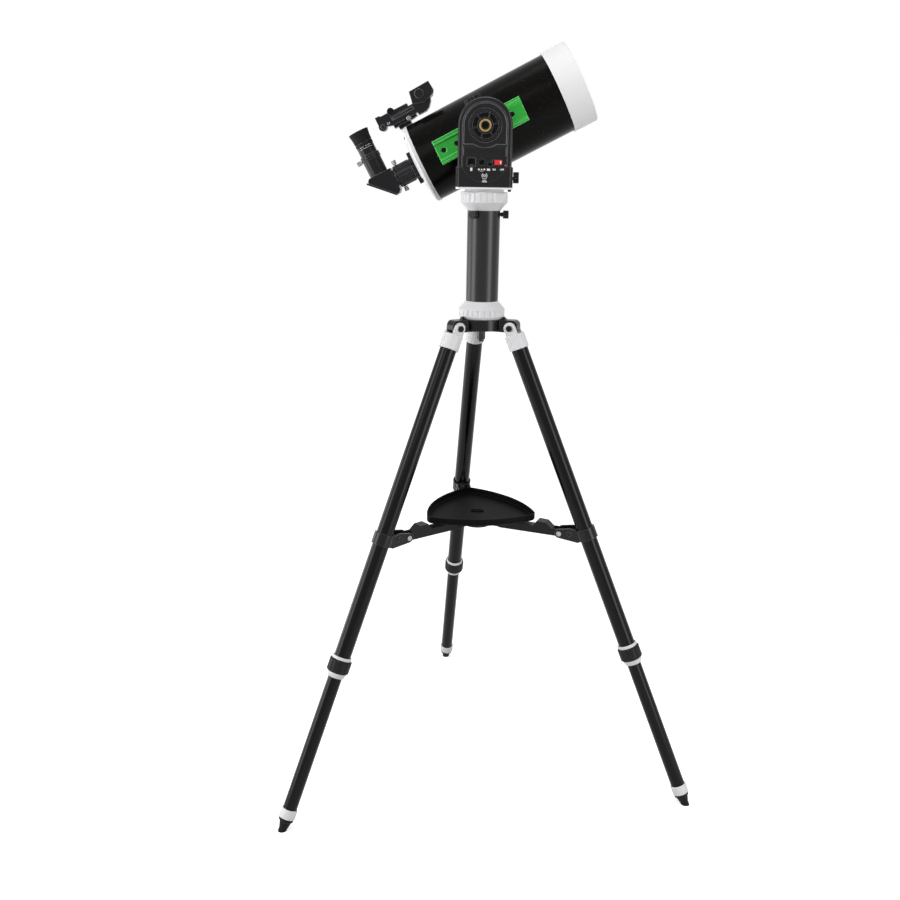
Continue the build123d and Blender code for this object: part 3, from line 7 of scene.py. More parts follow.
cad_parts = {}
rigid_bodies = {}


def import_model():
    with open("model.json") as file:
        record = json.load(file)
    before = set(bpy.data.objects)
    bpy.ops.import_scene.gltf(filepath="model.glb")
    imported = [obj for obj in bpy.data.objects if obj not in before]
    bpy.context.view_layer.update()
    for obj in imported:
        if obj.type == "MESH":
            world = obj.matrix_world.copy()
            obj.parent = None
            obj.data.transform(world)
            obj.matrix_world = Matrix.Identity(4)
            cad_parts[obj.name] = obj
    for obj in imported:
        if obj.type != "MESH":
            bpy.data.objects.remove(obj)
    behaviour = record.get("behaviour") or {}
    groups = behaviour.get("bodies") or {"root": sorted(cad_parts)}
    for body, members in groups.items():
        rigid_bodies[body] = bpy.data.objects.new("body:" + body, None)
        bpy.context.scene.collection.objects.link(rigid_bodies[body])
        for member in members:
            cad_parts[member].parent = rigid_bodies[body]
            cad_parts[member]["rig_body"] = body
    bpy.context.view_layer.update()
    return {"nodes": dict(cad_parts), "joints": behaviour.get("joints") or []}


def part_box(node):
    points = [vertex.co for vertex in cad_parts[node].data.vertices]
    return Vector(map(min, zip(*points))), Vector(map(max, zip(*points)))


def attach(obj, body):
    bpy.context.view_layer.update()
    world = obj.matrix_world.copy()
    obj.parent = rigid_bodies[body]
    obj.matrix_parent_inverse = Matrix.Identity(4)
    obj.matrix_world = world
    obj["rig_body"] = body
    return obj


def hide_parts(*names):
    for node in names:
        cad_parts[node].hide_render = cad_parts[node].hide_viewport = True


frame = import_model()
scene = bpy.context.scene
nodes = frame["nodes"]
joints = {joint["name"]: joint for joint in frame["joints"]}
legNames = ("left", "right", "back")
mm = 0.001
print("frame loaded:", len(nodes), "solids")

# the tube's own axes: along it, up across it, and its middle level with the altitude axis
alongTube = Vector(joints["mirror_slide"]["axis"]).normalized()
acrossTube = Vector(joints["eyepiece_slide"]["axis"]).normalized()
tubeLow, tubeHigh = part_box("optical_tube")
tubeHome = Vector(joints["altitude"]["pos_m"])
tubeHome.y = (tubeLow.y + tubeHigh.y) / 2
outFront = Vector((0, -1, 0))  # from the mount's panel towards the user
upright = Vector((0, 0, 1))
levelRight = Vector((1, 0, 0))

# how far the edges of new pieces are softened, in millimetres
edgeSize = {"metal": 0.12, "moulding": 0.15, "ink": 0.03}


def onTube(s, n, y=0.0):
    # a place beside the tube: millimetres along it, up across it, and sideways
    return tubeHome + alongTube * s * mm + acrossTube * n * mm + Vector((0, y * mm, 0))


def onPanel(x, z, proud=0.0):
    # a place on the mount's front panel: millimetres from the azimuth axis, from the floor and out of the panel
    return Vector((x * mm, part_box("arm_housing")[0].y - proud * mm, z * mm))


def turned(outward, level=levelRight):
    # the rotation that points local +Z outward and keeps local +X as near to level as it can
    side = level - outward * outward.dot(level)
    side.normalize()
    return Matrix((side, outward.cross(side), outward)).transposed().to_euler()


# a new primitive is made alone, so nothing else is selected when it is shaped
def clearSelection():
    if bpy.context.object and bpy.context.object.mode != "OBJECT":
        bpy.ops.object.mode_set(mode="OBJECT")
    bpy.ops.object.select_all(action="DESELECT")


def makeActive(piece):
    clearSelection()
    piece.select_set(True)
    bpy.context.view_layer.objects.active = piece


def addDrum(name, radius, height, place, outward, level=levelRight, sides=48, caps="NGON"):
    # a cylinder that stands on its place and points outward
    clearSelection()
    middle = Vector(place) + outward * height * mm / 2
    bpy.ops.mesh.primitive_cylinder_add(vertices=sides, radius=radius * mm, depth=height * mm, location=middle,
                                        rotation=turned(outward, level), end_fill_type=caps)
    bpy.context.object.name = name
    return bpy.context.object


def addBlock(name, size, place, outward, level=levelRight):
    # a block that stands on its place and points outward
    clearSelection()
    middle = Vector(place) + outward * size[2] * mm / 2
    bpy.ops.mesh.primitive_cube_add(size=1, location=middle, rotation=turned(outward, level),
                                    scale=[v * mm for v in size])
    piece = bpy.context.object
    piece.name = name
    bpy.ops.object.transform_apply(location=False, rotation=False, scale=True)
    return piece


def addLettering(name, words, place, height, spread, thickness):
    # solid letters that lie on the panel, each stroke widened by spread
    clearSelection()
    bpy.ops.object.text_add(location=place, rotation=turned(outFront))
    text = bpy.context.object
    text.name = name
    text.data.body = words
    text.data.size = height * mm
    text.data.offset = spread * mm
    text.data.align_x, text.data.align_y = "CENTER", "CENTER"
    text.data.extrude = thickness * mm
    bpy.ops.object.convert(target="MESH")
    return bpy.context.object


def pickFaces(piece, wanted):
    # selects faces by their middle (in millimetres) and normal, in the piece's own axes, and opens edit mode
    if piece.mode != "OBJECT":
        bpy.ops.object.mode_set(mode="OBJECT")
    mesh = piece.data
    mesh.vertices.foreach_set("select", [False] * len(mesh.vertices))
    mesh.edges.foreach_set("select", [False] * len(mesh.edges))
    for face in mesh.polygons:
        face.select = bool(wanted(face.center / mm, face.normal))
    bpy.ops.object.mode_set(mode="EDIT")
    bpy.ops.mesh.select_mode(type="FACE")


def isFront(middle, normal):
    return normal.z > 0.9


def isAny(middle, normal):
    return True


def insetBy(width, depth=0.0):
    bpy.ops.mesh.inset(thickness=width * mm, depth=depth * mm)


def raiseBy(height):
    # the picked faces move out (or in) along their normals, with walls behind them
    bpy.ops.mesh.extrude_region_shrink_fatten(TRANSFORM_OT_shrink_fatten={"value": height * mm})


def workFaces(piece, wanted, steps):
    # the wanted faces are inset or raised, one step after another, by millimetres
    pickFaces(piece, wanted)
    for step, *amounts in steps:
        if step == "inset":
            insetBy(*amounts)
        else:
            raiseBy(*amounts)
    bpy.ops.object.mode_set(mode="OBJECT")


def alternate(middle, teeth, nudge):
    # true for every second one of the sides round a drum; the nudge keeps rounding off the borders
    turn = math.atan2(middle.y, middle.x) + math.pi + nudge
    return int(turn / (math.pi / teeth)) % 2 == 0


def softenEdges(piece, width, segments=2, angle=40):
    makeActive(piece)
    bevel = piece.modifiers.new("softEdges", "BEVEL")
    bevel.width = width * mm
    bevel.segments = segments
    bevel.limit_method = "ANGLE"
    bevel.angle_limit = math.radians(angle)
    bpy.ops.object.modifier_apply(modifier=bevel.name)


def settle(piece, body, finish, angle=32):
    # the finished piece: place in its mesh, shaded, finished, and riding on its body
    makeActive(piece)
    bpy.ops.object.transform_apply(location=True, rotation=True, scale=True)
    bpy.ops.object.shade_smooth_by_angle(angle=math.radians(angle))
    piece.data.materials.append(materials[finish])
    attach(piece, body)


def copyTo(piece, name, move, body):
    # another of the same, with its own mesh
    twin = piece.copy()
    twin.data = piece.data.copy()
    twin.name = name
    scene.collection.objects.link(twin)
    twin.data.transform(move)
    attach(twin, body)


def turnAbout(centre, axis, angle):
    return Matrix.Translation(centre) @ Matrix.Rotation(angle, 4, axis) @ Matrix.Translation(-centre)


def copySolid(node, name, finishes, choose, angle=30):
    # a merged copy of a solid whose faces take different finishes, chosen by their middle and normal
    piece = bpy.data.objects.new(name, nodes[node].data.copy())
    scene.collection.objects.link(piece)
    makeActive(piece)
    bpy.ops.mesh.customdata_custom_splitnormals_clear()
    bpy.ops.object.mode_set(mode="EDIT")
    bpy.ops.mesh.select_all(action="SELECT")
    bpy.ops.mesh.remove_doubles(threshold=0.01 * mm)
    bpy.ops.object.mode_set(mode="OBJECT")
    bpy.ops.object.shade_smooth_by_angle(angle=math.radians(angle))
    piece.data.materials.clear()
    for finish in finishes:
        piece.data.materials.append(materials[finish])
    for face in piece.data.polygons:
        face.material_index = int(choose(face.center, face.normal))
    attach(piece, nodes[node]["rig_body"])
    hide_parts(node)
    return piece


# the view: place in metres, angles in degrees, lens in millimetres
cameraValues = {"place": (0.0308, -1.8058, 1.1213), "turn": -2.65, "dip": 15.2, "roll": 0.87, "lens": 40.37,
                "sensor": 36.0, "clip": (0.01, 100.0)}


def makeCamera(values):
    turn, dip, roll = (math.radians(values[key]) for key in ("turn", "dip", "roll"))
    ahead = Vector((math.sin(turn) * math.cos(dip), math.cos(turn) * math.cos(dip), -math.sin(dip)))
    across = Vector((math.cos(turn), -math.sin(turn), 0))
    up = across.cross(ahead)
    rolledAcross = across * math.cos(roll) + up * math.sin(roll)
    rolledUp = up * math.cos(roll) - across * math.sin(roll)
    data = bpy.data.cameras.new("camera")
    data.lens = values["lens"]
    data.sensor_width = values["sensor"]
    data.clip_start, data.clip_end = values["clip"]
    camera = bpy.data.objects.new("camera", data)
    scene.collection.objects.link(camera)
    facing = Matrix((rolledAcross, rolledUp, -ahead)).transposed().to_4x4()
    camera.matrix_world = Matrix.Translation(values["place"]) @ facing
    scene.camera = camera
    print("camera placed")


def toLinear(hexCode):
    # an sRGB hex colour as the linear one that the nodes use
    parts = [int(hexCode[i:i + 2], 16) / 255 for i in (0, 2, 4)]
    return [c / 12.92 if c <= 0.04045 else ((c + 0.055) / 1.055) ** 2.4 for c in parts] + [1.0]


def addNode(holder, kind, settings=None, links=None):
    # one node: settings name its properties or sockets, links join a socket to (node, output)
    node = holder.node_tree.nodes.new(kind)
    for name, value in (settings or {}).items():
        if isinstance(name, str) and hasattr(node, name):
            setattr(node, name, value)
        else:
            node.inputs[name].default_value = value
    for name, (source, output) in (links or {}).items():
        holder.node_tree.links.new(source.outputs[output], node.inputs[name])
    return node


def newMaterial(name):
    material = bpy.data.materials.new(name)
    material.use_nodes = True
    material.node_tree.nodes.clear()
    return material


# how often each pattern repeats in a metre
patternValues = {"plasticCloud": 18.0, "enamelPeel": 420.0, "enamelCloud": 9.0, "flakes": 900.0,
                 "metalCloud": 60.0}


def mottled(material, coords, colour, shade, perMetre, detail):
    # slow, cloudy changes between two close colours
    cloud = addNode(material, "ShaderNodeTexNoise", {"Scale": perMetre, "Detail": detail},
                    {"Vector": (coords, "Object")})
    base = addNode(material, "ShaderNodeMix", {"data_type": "RGBA", 6: toLinear(colour), 7: toLinear(shade)},
                   {0: (cloud, 0)})
    return cloud, base


def roundedEdgesPaintedHighlight(material, base, edge, edgeMm):
    # rounded edges: a rounded normal shades them, and a painted highlight in the edge colour lies where the
    # rounded normal leaves the true one
    rounded = addNode(material, "ShaderNodeBevel", {"samples": 8, "Radius": edgeMm * mm})
    true = addNode(material, "ShaderNodeNewGeometry")
    match = addNode(material, "ShaderNodeVectorMath", {"operation": "DOT_PRODUCT"},
                    {0: (rounded, 0), 1: (true, "Normal")})
    paintedHighlightMask = addNode(material, "ShaderNodeMapRange", {"From Min": 0.99, "From Max": 0.9},
                   {"Value": (match, "Value")})
    paintedHighlightColour = addNode(material, "ShaderNodeMix", {"data_type": "RGBA", 7: toLinear(edge)},
                    {0: (paintedHighlightMask, 0), 6: (base, 2)})
    return paintedHighlightColour, rounded


def mouldedPlastic(name, colour, shade, roughness, grainMm, depthMm, shine, ior=1.53, edge=None):
    # injection moulding: even colour with slow changes, and a spark-eroded grain that breaks up the highlight
    material = newMaterial(name)
    coords = addNode(material, "ShaderNodeTexCoord")
    grain = addNode(material, "ShaderNodeTexNoise",
                    {"Scale": 1 / (grainMm * mm), "Detail": 3.0, "Roughness": 0.6},
                    {"Vector": (coords, "Object")})
    base = mottled(material, coords, colour, shade, patternValues["plasticCloud"], 2.0)[1]
    relief = {"Height": (grain, 0)}
    # an edge gives rounded-edge shading and a painted highlight along the edges
    if edge:
        base, rounded = roundedEdgesPaintedHighlight(material, base, *edge)
        relief["Normal"] = (rounded, 0)
    rough = addNode(material, "ShaderNodeMapRange",
                    {"From Min": 0.3, "From Max": 0.7, "To Min": roughness - 0.05, "To Max": roughness + 0.07},
                    {"Value": (grain, 0)})
    bump = addNode(material, "ShaderNodeBump", {"Strength": 0.35, "Distance": depthMm * mm}, relief)
    shader = addNode(material, "ShaderNodeBsdfPrincipled", {"IOR": ior, "Specular IOR Level": shine},
                     {"Base Color": (base, 2), "Roughness": (rough, 0), "Normal": (bump, 0)})
    addNode(material, "ShaderNodeOutputMaterial", {}, {"Surface": (shader, 0)})
    return material


def bakedEnamel(name, colour, shade, roughness, shine, flake=None):
    # sprayed and baked enamel: smooth gloss with a trace of orange peel
    material = newMaterial(name)
    coords = addNode(material, "ShaderNodeTexCoord")
    peel = addNode(material, "ShaderNodeTexNoise", {"Scale": patternValues["enamelPeel"], "Detail": 1.0},
                   {"Vector": (coords, "Object")})
    base = mottled(material, coords, colour, shade, patternValues["enamelCloud"], 2.0)[1]
    if flake:
        # mica flakes, real ones are 0.1 mm across, drawn a millimetre apart so that they show
        cells = addNode(material, "ShaderNodeTexVoronoi", {"Scale": patternValues["flakes"]},
                        {"Vector": (coords, "Object")})
        few = addNode(material, "ShaderNodeMapRange", {"From Min": 0.86, "From Max": 0.93},
                      {"Value": (cells, "Color")})
        base = addNode(material, "ShaderNodeMix", {"data_type": "RGBA", 7: toLinear(flake)},
                       {0: (few, 0), 6: (base, 2)})
    bump = addNode(material, "ShaderNodeBump", {"Strength": 0.12, "Distance": 0.1 * mm}, {"Height": (peel, 0)})
    shader = addNode(material, "ShaderNodeBsdfPrincipled",
                     {"IOR": 1.5, "Specular IOR Level": shine, "Roughness": roughness},
                     {"Base Color": (base, 2), "Normal": (bump, 0)})
    addNode(material, "ShaderNodeOutputMaterial", {}, {"Surface": (shader, 0)})
    return material


def turnedMetal(name, colour, shade, roughness, axis, waveMm=0.35, metallic=1.0, shine=0.5, edge=None):
    # lathe-turned metal: fine rings across the axis, and slow colour changes at random; where the shade is far
    # darker, as on the brass, chrome and steel knob, the patches are painted reflection
    material = newMaterial(name)
    coords = addNode(material, "ShaderNodeTexCoord")
    # the wave turns through 20 radians for each unit of its scale, so the rings are 2 pi times waveMm apart
    rings = addNode(material, "ShaderNodeTexWave",
                    {"wave_type": "BANDS", "bands_direction": axis, "Scale": 1 / (20 * waveMm * mm),
                     "Distortion": 1.2, "Detail": 2.0}, {"Vector": (coords, "Object")})
    cloud, base = mottled(material, coords, colour, shade, patternValues["metalCloud"], 3.0)
    relief = {"Height": (rings, 0)}
    # an edge gives rounded-edge shading and a painted highlight along the edges
    if edge:
        base, rounded = roundedEdgesPaintedHighlight(material, base, *edge)
        relief["Normal"] = (rounded, 0)
    rough = addNode(material, "ShaderNodeMapRange", {"To Min": roughness - 0.05, "To Max": roughness + 0.08},
                    {"Value": (cloud, 0)})
    bump = addNode(material, "ShaderNodeBump", {"Strength": 0.15, "Distance": 0.05 * mm}, relief)
    shader = addNode(material, "ShaderNodeBsdfPrincipled", {"Metallic": metallic, "Specular IOR Level": shine},
                     {"Base Color": (base, 2), "Roughness": (rough, 0), "Normal": (bump, 0)})
    addNode(material, "ShaderNodeOutputMaterial", {}, {"Surface": (shader, 0)})
    return material


def opticalGlass(name, tint):
    # coated optical glass: clear face on, with the green of its coating towards the edge
    material = newMaterial(name)
    edge = addNode(material, "ShaderNodeLayerWeight", {"Blend": 0.35})
    coating = addNode(material, "ShaderNodeMix",
                      {"data_type": "RGBA", 6: toLinear("FFFFFF"), 7: toLinear(tint)}, {0: (edge, 1)})
    shader = addNode(material, "ShaderNodeBsdfPrincipled",
                     {"IOR": 1.52, "Roughness": 0.02, "Transmission Weight": 1.0}, {"Base Color": (coating, 2)})
    addNode(material, "ShaderNodeOutputMaterial", {}, {"Surface": (shader, 0)})
    return material


enamelValues = {
    # oven-baked black enamel with brown mica flakes on rolled steel: deep gloss, a warm speckle
    "tubeEnamel": {"colour": "080706", "shade": "0A0908", "roughness": 0.22, "shine": 0.05, "flake": "33281F"},
    # white enamel on the cast front cell: clean, soft gloss
    "whiteEnamel": {"colour": "E6E6E6", "shade": "E1E1E2", "roughness": 0.42, "shine": 0.25},
    # the same enamel on the rear cell, a touch cooler and duller
    "greyEnamel": {"colour": "E2E2E4", "shade": "DBDBDE", "roughness": 0.44, "shine": 0.25},
}

# an edge is the colour of the painted highlight along rounded edges, and how wide the rounding is in
# millimetres
plasticValues = {
    # moulded ABS of the mount, fine grained charcoal: satin, with a crisp painted highlight along its rounded
    # edges
    "mountAbs": {"colour": "0E0E10", "shade": "0C0C0E", "roughness": 0.2, "grainMm": 0.5, "depthMm": 0.012,
                 "shine": 0.2, "edge": ("606066", 2.0)},
    # moulded ABS of knobs and wheels: the deepest black, with a painted highlight on its ribs and edges only
    "knobAbs": {"colour": "070708", "shade": "060606", "roughness": 0.2, "grainMm": 0.5, "depthMm": 0.012,
                "shine": 0.1, "edge": ("5E5E62", 1.4)},
    # moulded ABS of the finder: a little greyer and duller than the mount, with a painted highlight along its
    # edges
    "finderAbs": {"colour": "141417", "shade": "111113", "roughness": 0.28, "grainMm": 0.6, "depthMm": 0.02,
                  "shine": 0.15, "edge": ("727276", 1.3)},
    # moulded ABS of the tripod's hub and clamps: dense black, with a dim painted highlight along its edges
    "hubAbs": {"colour": "0D0D0E", "shade": "0A0A0B", "roughness": 0.22, "grainMm": 0.5, "depthMm": 0.02,
               "shine": 0.18, "edge": ("505054", 1.2)},
    # moulded ABS of the tray: matt, with no highlight to speak of
    "trayAbs": {"colour": "0A0A0B", "shade": "080808", "roughness": 0.5, "grainMm": 0.6, "depthMm": 0.05,
                "shine": 0.04},
    # moulded ABS inside the sockets: dark holes in the panel
    "socketAbs": {"colour": "060607", "shade": "040404", "roughness": 0.3, "grainMm": 0.6, "depthMm": 0.02,
                  "shine": 0.1},
    # glossy white ABS: milky, with a faint painted highlight at its ribs and edges
    "whiteAbs": {"colour": "CFCFD0", "shade": "C9C9CB", "roughness": 0.36, "grainMm": 0.8, "depthMm": 0.02,
                 "shine": 0.3, "edge": ("D3D3D4", 2.0)},
    # red ABS of the power switch: one bright, warm spot on the panel
    "switchAbs": {"colour": "F01A12", "shade": "DE140E", "roughness": 0.26, "grainMm": 0.8, "depthMm": 0.01,
                  "shine": 0.5},
    # silk-screened white ink, slightly chalky
    "printInk": {"colour": "DCDCDC", "shade": "D0D0D0", "roughness": 0.6, "grainMm": 0.3, "depthMm": 0.01,
                 "shine": 0.3},
    # red lamp lens of acrylic over its diode: small and wet looking
    "lampAcrylic": {"colour": "D01510", "shade": "A80E0A", "roughness": 0.12, "grainMm": 0.8, "depthMm": 0.005,
                    "shine": 0.6, "ior": 1.49},
    # natural rubber: dull, with a dusty bloom
    "footRubber": {"colour": "0F0F0F", "shade": "161514", "roughness": 0.7, "grainMm": 1.2, "depthMm": 0.15,
                   "shine": 0.12, "ior": 1.52},
    # moulded rubber over the grips: dull, fine grained
    "gripRubber": {"colour": "131314", "shade": "0F0F10", "roughness": 0.5, "grainMm": 0.7, "depthMm": 0.06,
                   "shine": 0.15, "ior": 1.52},
    # black powder coat on the legs' steel tube: satin, one long line of light
    "legPowderCoat": {"colour": "060607", "shade": "050505", "roughness": 0.2, "grainMm": 0.9, "depthMm": 0.012,
                      "shine": 0.13, "ior": 1.5},
    # charcoal powder coat on the pier: softer and paler than the legs
    "pierPowderCoat": {"colour": "121214", "shade": "101012", "roughness": 0.3, "grainMm": 0.6, "depthMm": 0.02,
                       "shine": 0.3, "ior": 1.5},
    # dipped black paint on the pressed steel spreader: even, half matt
    "spreaderPaint": {"colour": "121213", "shade": "0E0E0F", "roughness": 0.34, "grainMm": 0.9, "depthMm": 0.03,
                      "shine": 0.14, "ior": 1.5},
}

metalValues = {
    # aluminium dyed green in its anodised layer, over fine machining marks: bright, a little milky, with a pale
    # painted highlight along its edges
    "greenAnodised": {"colour": "27A834", "shade": "1C922A", "roughness": 0.3, "axis": "Z", "waveMm": 0.4,
                      "metallic": 0.45, "edge": ("6FE07A", 1.6)},
    # black anodised aluminium: a dark satin with a painted highlight along its edges
    "blackAnodised": {"colour": "121215", "shade": "0F0F12", "roughness": 0.22, "axis": "Z", "waveMm": 0.4,
                      "metallic": 0.0, "shine": 0.17, "edge": ("5E5E62", 1.2)},
    # bright aluminium plate, satin from the mill
    "millAluminium": {"colour": "D6D6D9", "shade": "C9C9CD", "roughness": 0.34, "axis": "Z"},
    # turned brass, with random dark and bright patches of painted reflection
    "turnedBrass": {"colour": "CDB27A", "shade": "6E5426", "roughness": 0.16, "axis": "Y"},
    # gold-plated spring contacts: thin warm glints
    "goldPlate": {"colour": "D8A84A", "shade": "C08F38", "roughness": 0.2, "axis": "X"},
    # chrome on knurled steel: a darkened colour, with random bright and dark patches of painted reflection
    "knurledChrome": {"colour": "A8A8AC", "shade": "5C5C60", "roughness": 0.2, "axis": "Z", "waveMm": 0.6},
    # the hub bolt's knob of rolled steel: dark, with brighter patches at random, painted reflection
    "knurledSteel": {"colour": "4E4E52", "shade": "161618", "roughness": 0.22, "axis": "X", "waveMm": 2.0},
    # blackened steel screw heads: dark, with a faint oily light; also the painted shade in the clutch bush's
    # bore
    "blackSteelAndBoreShade": {"colour": "161618", "shade": "0E0E0F", "roughness": 0.28, "axis": "Z", "waveMm": 0.3,
                   "metallic": 0.4, "shine": 0.2},
    # front-silvered glass: a clear mirror
    "mirrorSilver": {"colour": "F0F0F2", "shade": "ECECEF", "roughness": 0.06, "axis": "Z"},
}

# glass with a green antireflection coating: all but clear
glassValues = {"coatedGlass": {"tint": "9FD8B8"}}


def makeMaterials():
    made = {}
    for maker, table in ((bakedEnamel, enamelValues), (mouldedPlastic, plasticValues),
                         (turnedMetal, metalValues), (opticalGlass, glassValues)):
        for name, values in table.items():
            made[name] = maker(name, **values)
    print("materials made:", len(made))
    return made


# which finish each solid of the frame takes: the first word that starts its name decides
finishOf = (
    ("leg_bracket", "whiteAbs"), ("leg_lock", "knobAbs"), ("leg_clamp", "hubAbs"), ("leg_foot", "footRubber"),
    ("upper_leg", "legPowderCoat"), ("lower_leg", "legPowderCoat"), ("spreader", "spreaderPaint"),
    ("accessory_tray", "trayAbs"), ("tripod_hub", "hubAbs"), ("pivot_bolts", "blackSteelAndBoreShade"),
    ("centre_bolt", "knurledSteel"), ("bottom_collar", "whiteAbs"), ("top_collar", "whiteAbs"),
    ("pier_tube", "pierPowderCoat"), ("pier_knobs", "knobAbs"), ("base_plate", "millAluminium"),
    ("lower_housing", "mountAbs"), ("arm_housing", "mountAbs"), ("panel_sockets", "socketAbs"),
    ("power_switch", "switchAbs"), ("azimuth_knob", "knobAbs"), ("clutch_wheel", "knobAbs"),
    ("clutch_bush", "turnedBrass"), ("altitude_shaft", "knurledChrome"), ("saddle_knob", "knobAbs"),
    ("saddle", "blackAnodised"), ("dovetail_bar", "greenAnodised"), ("optical_tube", "tubeEnamel"),
    ("front_cell", "whiteEnamel"), ("rear_cell", "greyEnamel"), ("corrector_lens", "coatedGlass"),
    ("primary_mirror", "mirrorSilver"), ("baffle_tube", "blackAnodised"), ("focus_knob", "knobAbs"),
    ("visual_back", "blackAnodised"), ("back_screws", "knurledChrome"), ("holder_screw", "knurledChrome"),
    ("diagonal_prism", "coatedGlass"), ("diagonal_body", "blackAnodised"), ("eyepiece", "knobAbs"),
    ("finder_window", "coatedGlass"), ("finder_bracket", "knobAbs"), ("finder_dial", "knobAbs"),
    ("finder", "finderAbs"),
)


def dressSolids():
    for name, solid in nodes.items():
        finish = next(word for start, word in finishOf if name.startswith(start))
        solid.data.materials.clear()
        solid.data.materials.append(materials[finish])
    print("solids dressed")


# twist locks: a black ribbed grip between two white rings; feet: a white collar on a rubber tip; clamps:
# bright rivets; in millimetres down the leg from its hinge, and from the rivet's middle
legValues = {"gripFrom": 616.9, "gripTo": 641.1, "collarTo": 914.05, "rivetReach": 4.4, "earFace": 13.2}


def finishLegs(values):
    for name in legNames:
        hinge = Vector(joints[f"leg_fold_{name}"]["pos_m"])
        downLeg = Vector(joints[f"leg_slide_{name}"]["axis"]).normalized()
        rivet = Vector(joints[f"arm_fold_{name}"]["pos_m"])
        sideways = Vector(joints[f"arm_fold_{name}"]["axis"]).normalized()

        def isGrip(middle, normal):
            return values["gripFrom"] < (middle - hinge).dot(downLeg) / mm < values["gripTo"]

        def isTip(middle, normal):
            return (middle - hinge).dot(downLeg) / mm > values["collarTo"]

        def isRivet(middle, normal):
            fromPin = middle - rivet
            out = fromPin.dot(sideways)
            off = (fromPin - sideways * out).length / mm
            return abs(out) / mm > values["earFace"] and off < values["rivetReach"]

        lock = copySolid(f"leg_lock_{name}", f"legLock_{name}", ("whiteAbs", "gripRubber"), isGrip)
        foot = copySolid(f"leg_foot_{name}", f"legFoot_{name}", ("whiteAbs", "footRubber"), isTip)
        clamp = copySolid(f"leg_clamp_{name}", f"legClamp_{name}", ("hubAbs", "knurledChrome"), isRivet)
    print("legs finished")


# dovetail bar: dyed green, its three cap screws black in their sunk holes
barValues = {"screws": (-83.0, -57.0, 49.6), "hole": 4.95}


def finishBar(values):
    def isScrew(middle, normal):
        place = middle - tubeHome
        s, n = place.dot(alongTube) / mm, place.dot(acrossTube) / mm
        return any(math.hypot(s - at, n) < values["hole"] for at in values["screws"])

    bar = copySolid("dovetail_bar", "dovetailBar", ("greenAnodised", "blackSteelAndBoreShade"), isScrew)
    print("dovetail bar finished")


# clutch bush: a brass face round a bore painted black as painted shade, by radii
bushValues = {"bore": 6.9, "shadeRingFrom": 4.7, "shadeRingTo": 7.2, "shadeRingProud": 0.35, "sides": 64}


def finishBush(values):
    def isShadedBore(middle, normal):
        return math.hypot(middle.x - tubeHome.x, middle.z - tubeHome.z) / mm < values["bore"]

    bush = copySolid("clutch_bush", "clutchBush", ("turnedBrass", "blackSteelAndBoreShade"), isShadedBore)

    # a black ring of painted shade round the open bore
    face = Vector((tubeHome.x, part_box("clutch_bush")[0].y, tubeHome.z))
    shadeRing = addDrum("boreShadeRing", values["shadeRingFrom"], values["shadeRingProud"], face, outFront,
                     sides=values["sides"], caps="NOTHING")
    workFaces(shadeRing, isAny, (("raise", values["shadeRingTo"] - values["shadeRingFrom"]),))
    softenEdges(shadeRing, edgeSize["metal"])
    settle(shadeRing, nodes["clutch_bush"]["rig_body"], "blackSteelAndBoreShade")
    print("clutch bush finished")


# handset socket: spring contacts, slim bars with a rounded nose
contactValues = {"x": -22.0, "z": 1139.6, "sunk": 11.5, "count": 6, "pitch": 1.35, "bar": (0.7, 0.6, 9.0),
                 "nose": 1.5, "noseTaper": 0.4}


def makeContacts(values):
    first = values["x"] - values["pitch"] * (values["count"] - 1) / 2
    contact = addBlock("socketContact", values["bar"], onPanel(first, values["z"], -values["sunk"]), outFront)
    pickFaces(contact, isFront)
    raiseBy(values["nose"])
    bpy.ops.transform.resize(value=(1, values["noseTaper"], 1))
    bpy.ops.object.mode_set(mode="OBJECT")
    softenEdges(contact, edgeSize["metal"])
    settle(contact, "mount", "goldPlate")
    for k in range(1, values["count"]):
        move = Matrix.Translation((values["pitch"] * k * mm, 0, 0))
        copyTo(contact, f"socketContact_{k}", move, "mount")


# power lamp: a low dome in a thin collar
lampValues = {"x": 35.2, "z": 1139.2, "radius": 1.5, "collar": 0.5, "sides": 32,
              "dome": (("inset", 0.3), ("raise", 0.5), ("inset", 0.45, 0.25))}


def makeLamp(values):
    lamp = addDrum("powerLamp", values["radius"], values["collar"], onPanel(values["x"], values["z"]), outFront,
                   sides=values["sides"])
    workFaces(lamp, isFront, values["dome"])
    softenEdges(lamp, edgeSize["metal"])
    settle(lamp, "mount", "lampAcrylic")


# power switch: a pale bar on the half that is pressed in
switchMarkValues = {"x": 27.0, "z": 1144.0, "proud": 1.2, "size": (2.2, 4.6, 1.0),
                    "steps": (("inset", 0.25), ("raise", 0.08))}


def makeSwitchMark(values):
    place = onPanel(values["x"], values["z"], values["proud"])
    mark = addBlock("switchMark", values["size"], place, outFront)
    workFaces(mark, isFront, values["steps"])
    settle(mark, "switch", "printInk")


# screen-printed marks of the panel, in one row at z, with the wireless mark and small print below
markValues = {
    "z": 1132.3, "ink": 0.12, "sunk": ("raise", -0.08), "lift": 0.01,
    "words": (("labelOn", "ON", 16.2), ("labelOff", "OFF", 29.6)), "wordHeight": 3.64, "wordSpread": 0.13,
    "handsetX": -22.0, "handset": (3.4, 5.2), "handsetRims": (0.6, 0.45), "handsetKeys": 0.08,
    "polarity": ((-9.4, 1.5), (-4.7, 1.1), (0.0, 1.5)), "polarityDot": 1, "polarityRim": 0.45,
    "polaritySides": 24,
    "line": (7.0, 0.5), "lineDown": 2.6,
    "shutterX": 6.9, "shutter": (5.6, 3.4), "shutterDown": 0.2, "shutterRim": 0.5,
    "airX": 0.4, "airZ": 1123.0, "airHeight": 8.5, "airSpread": 0.08,
    "rows": ((1117.2, 6.0), (1114.0, 7.0), (1112.2, 9.0)), "rowHeight": 0.9,
}


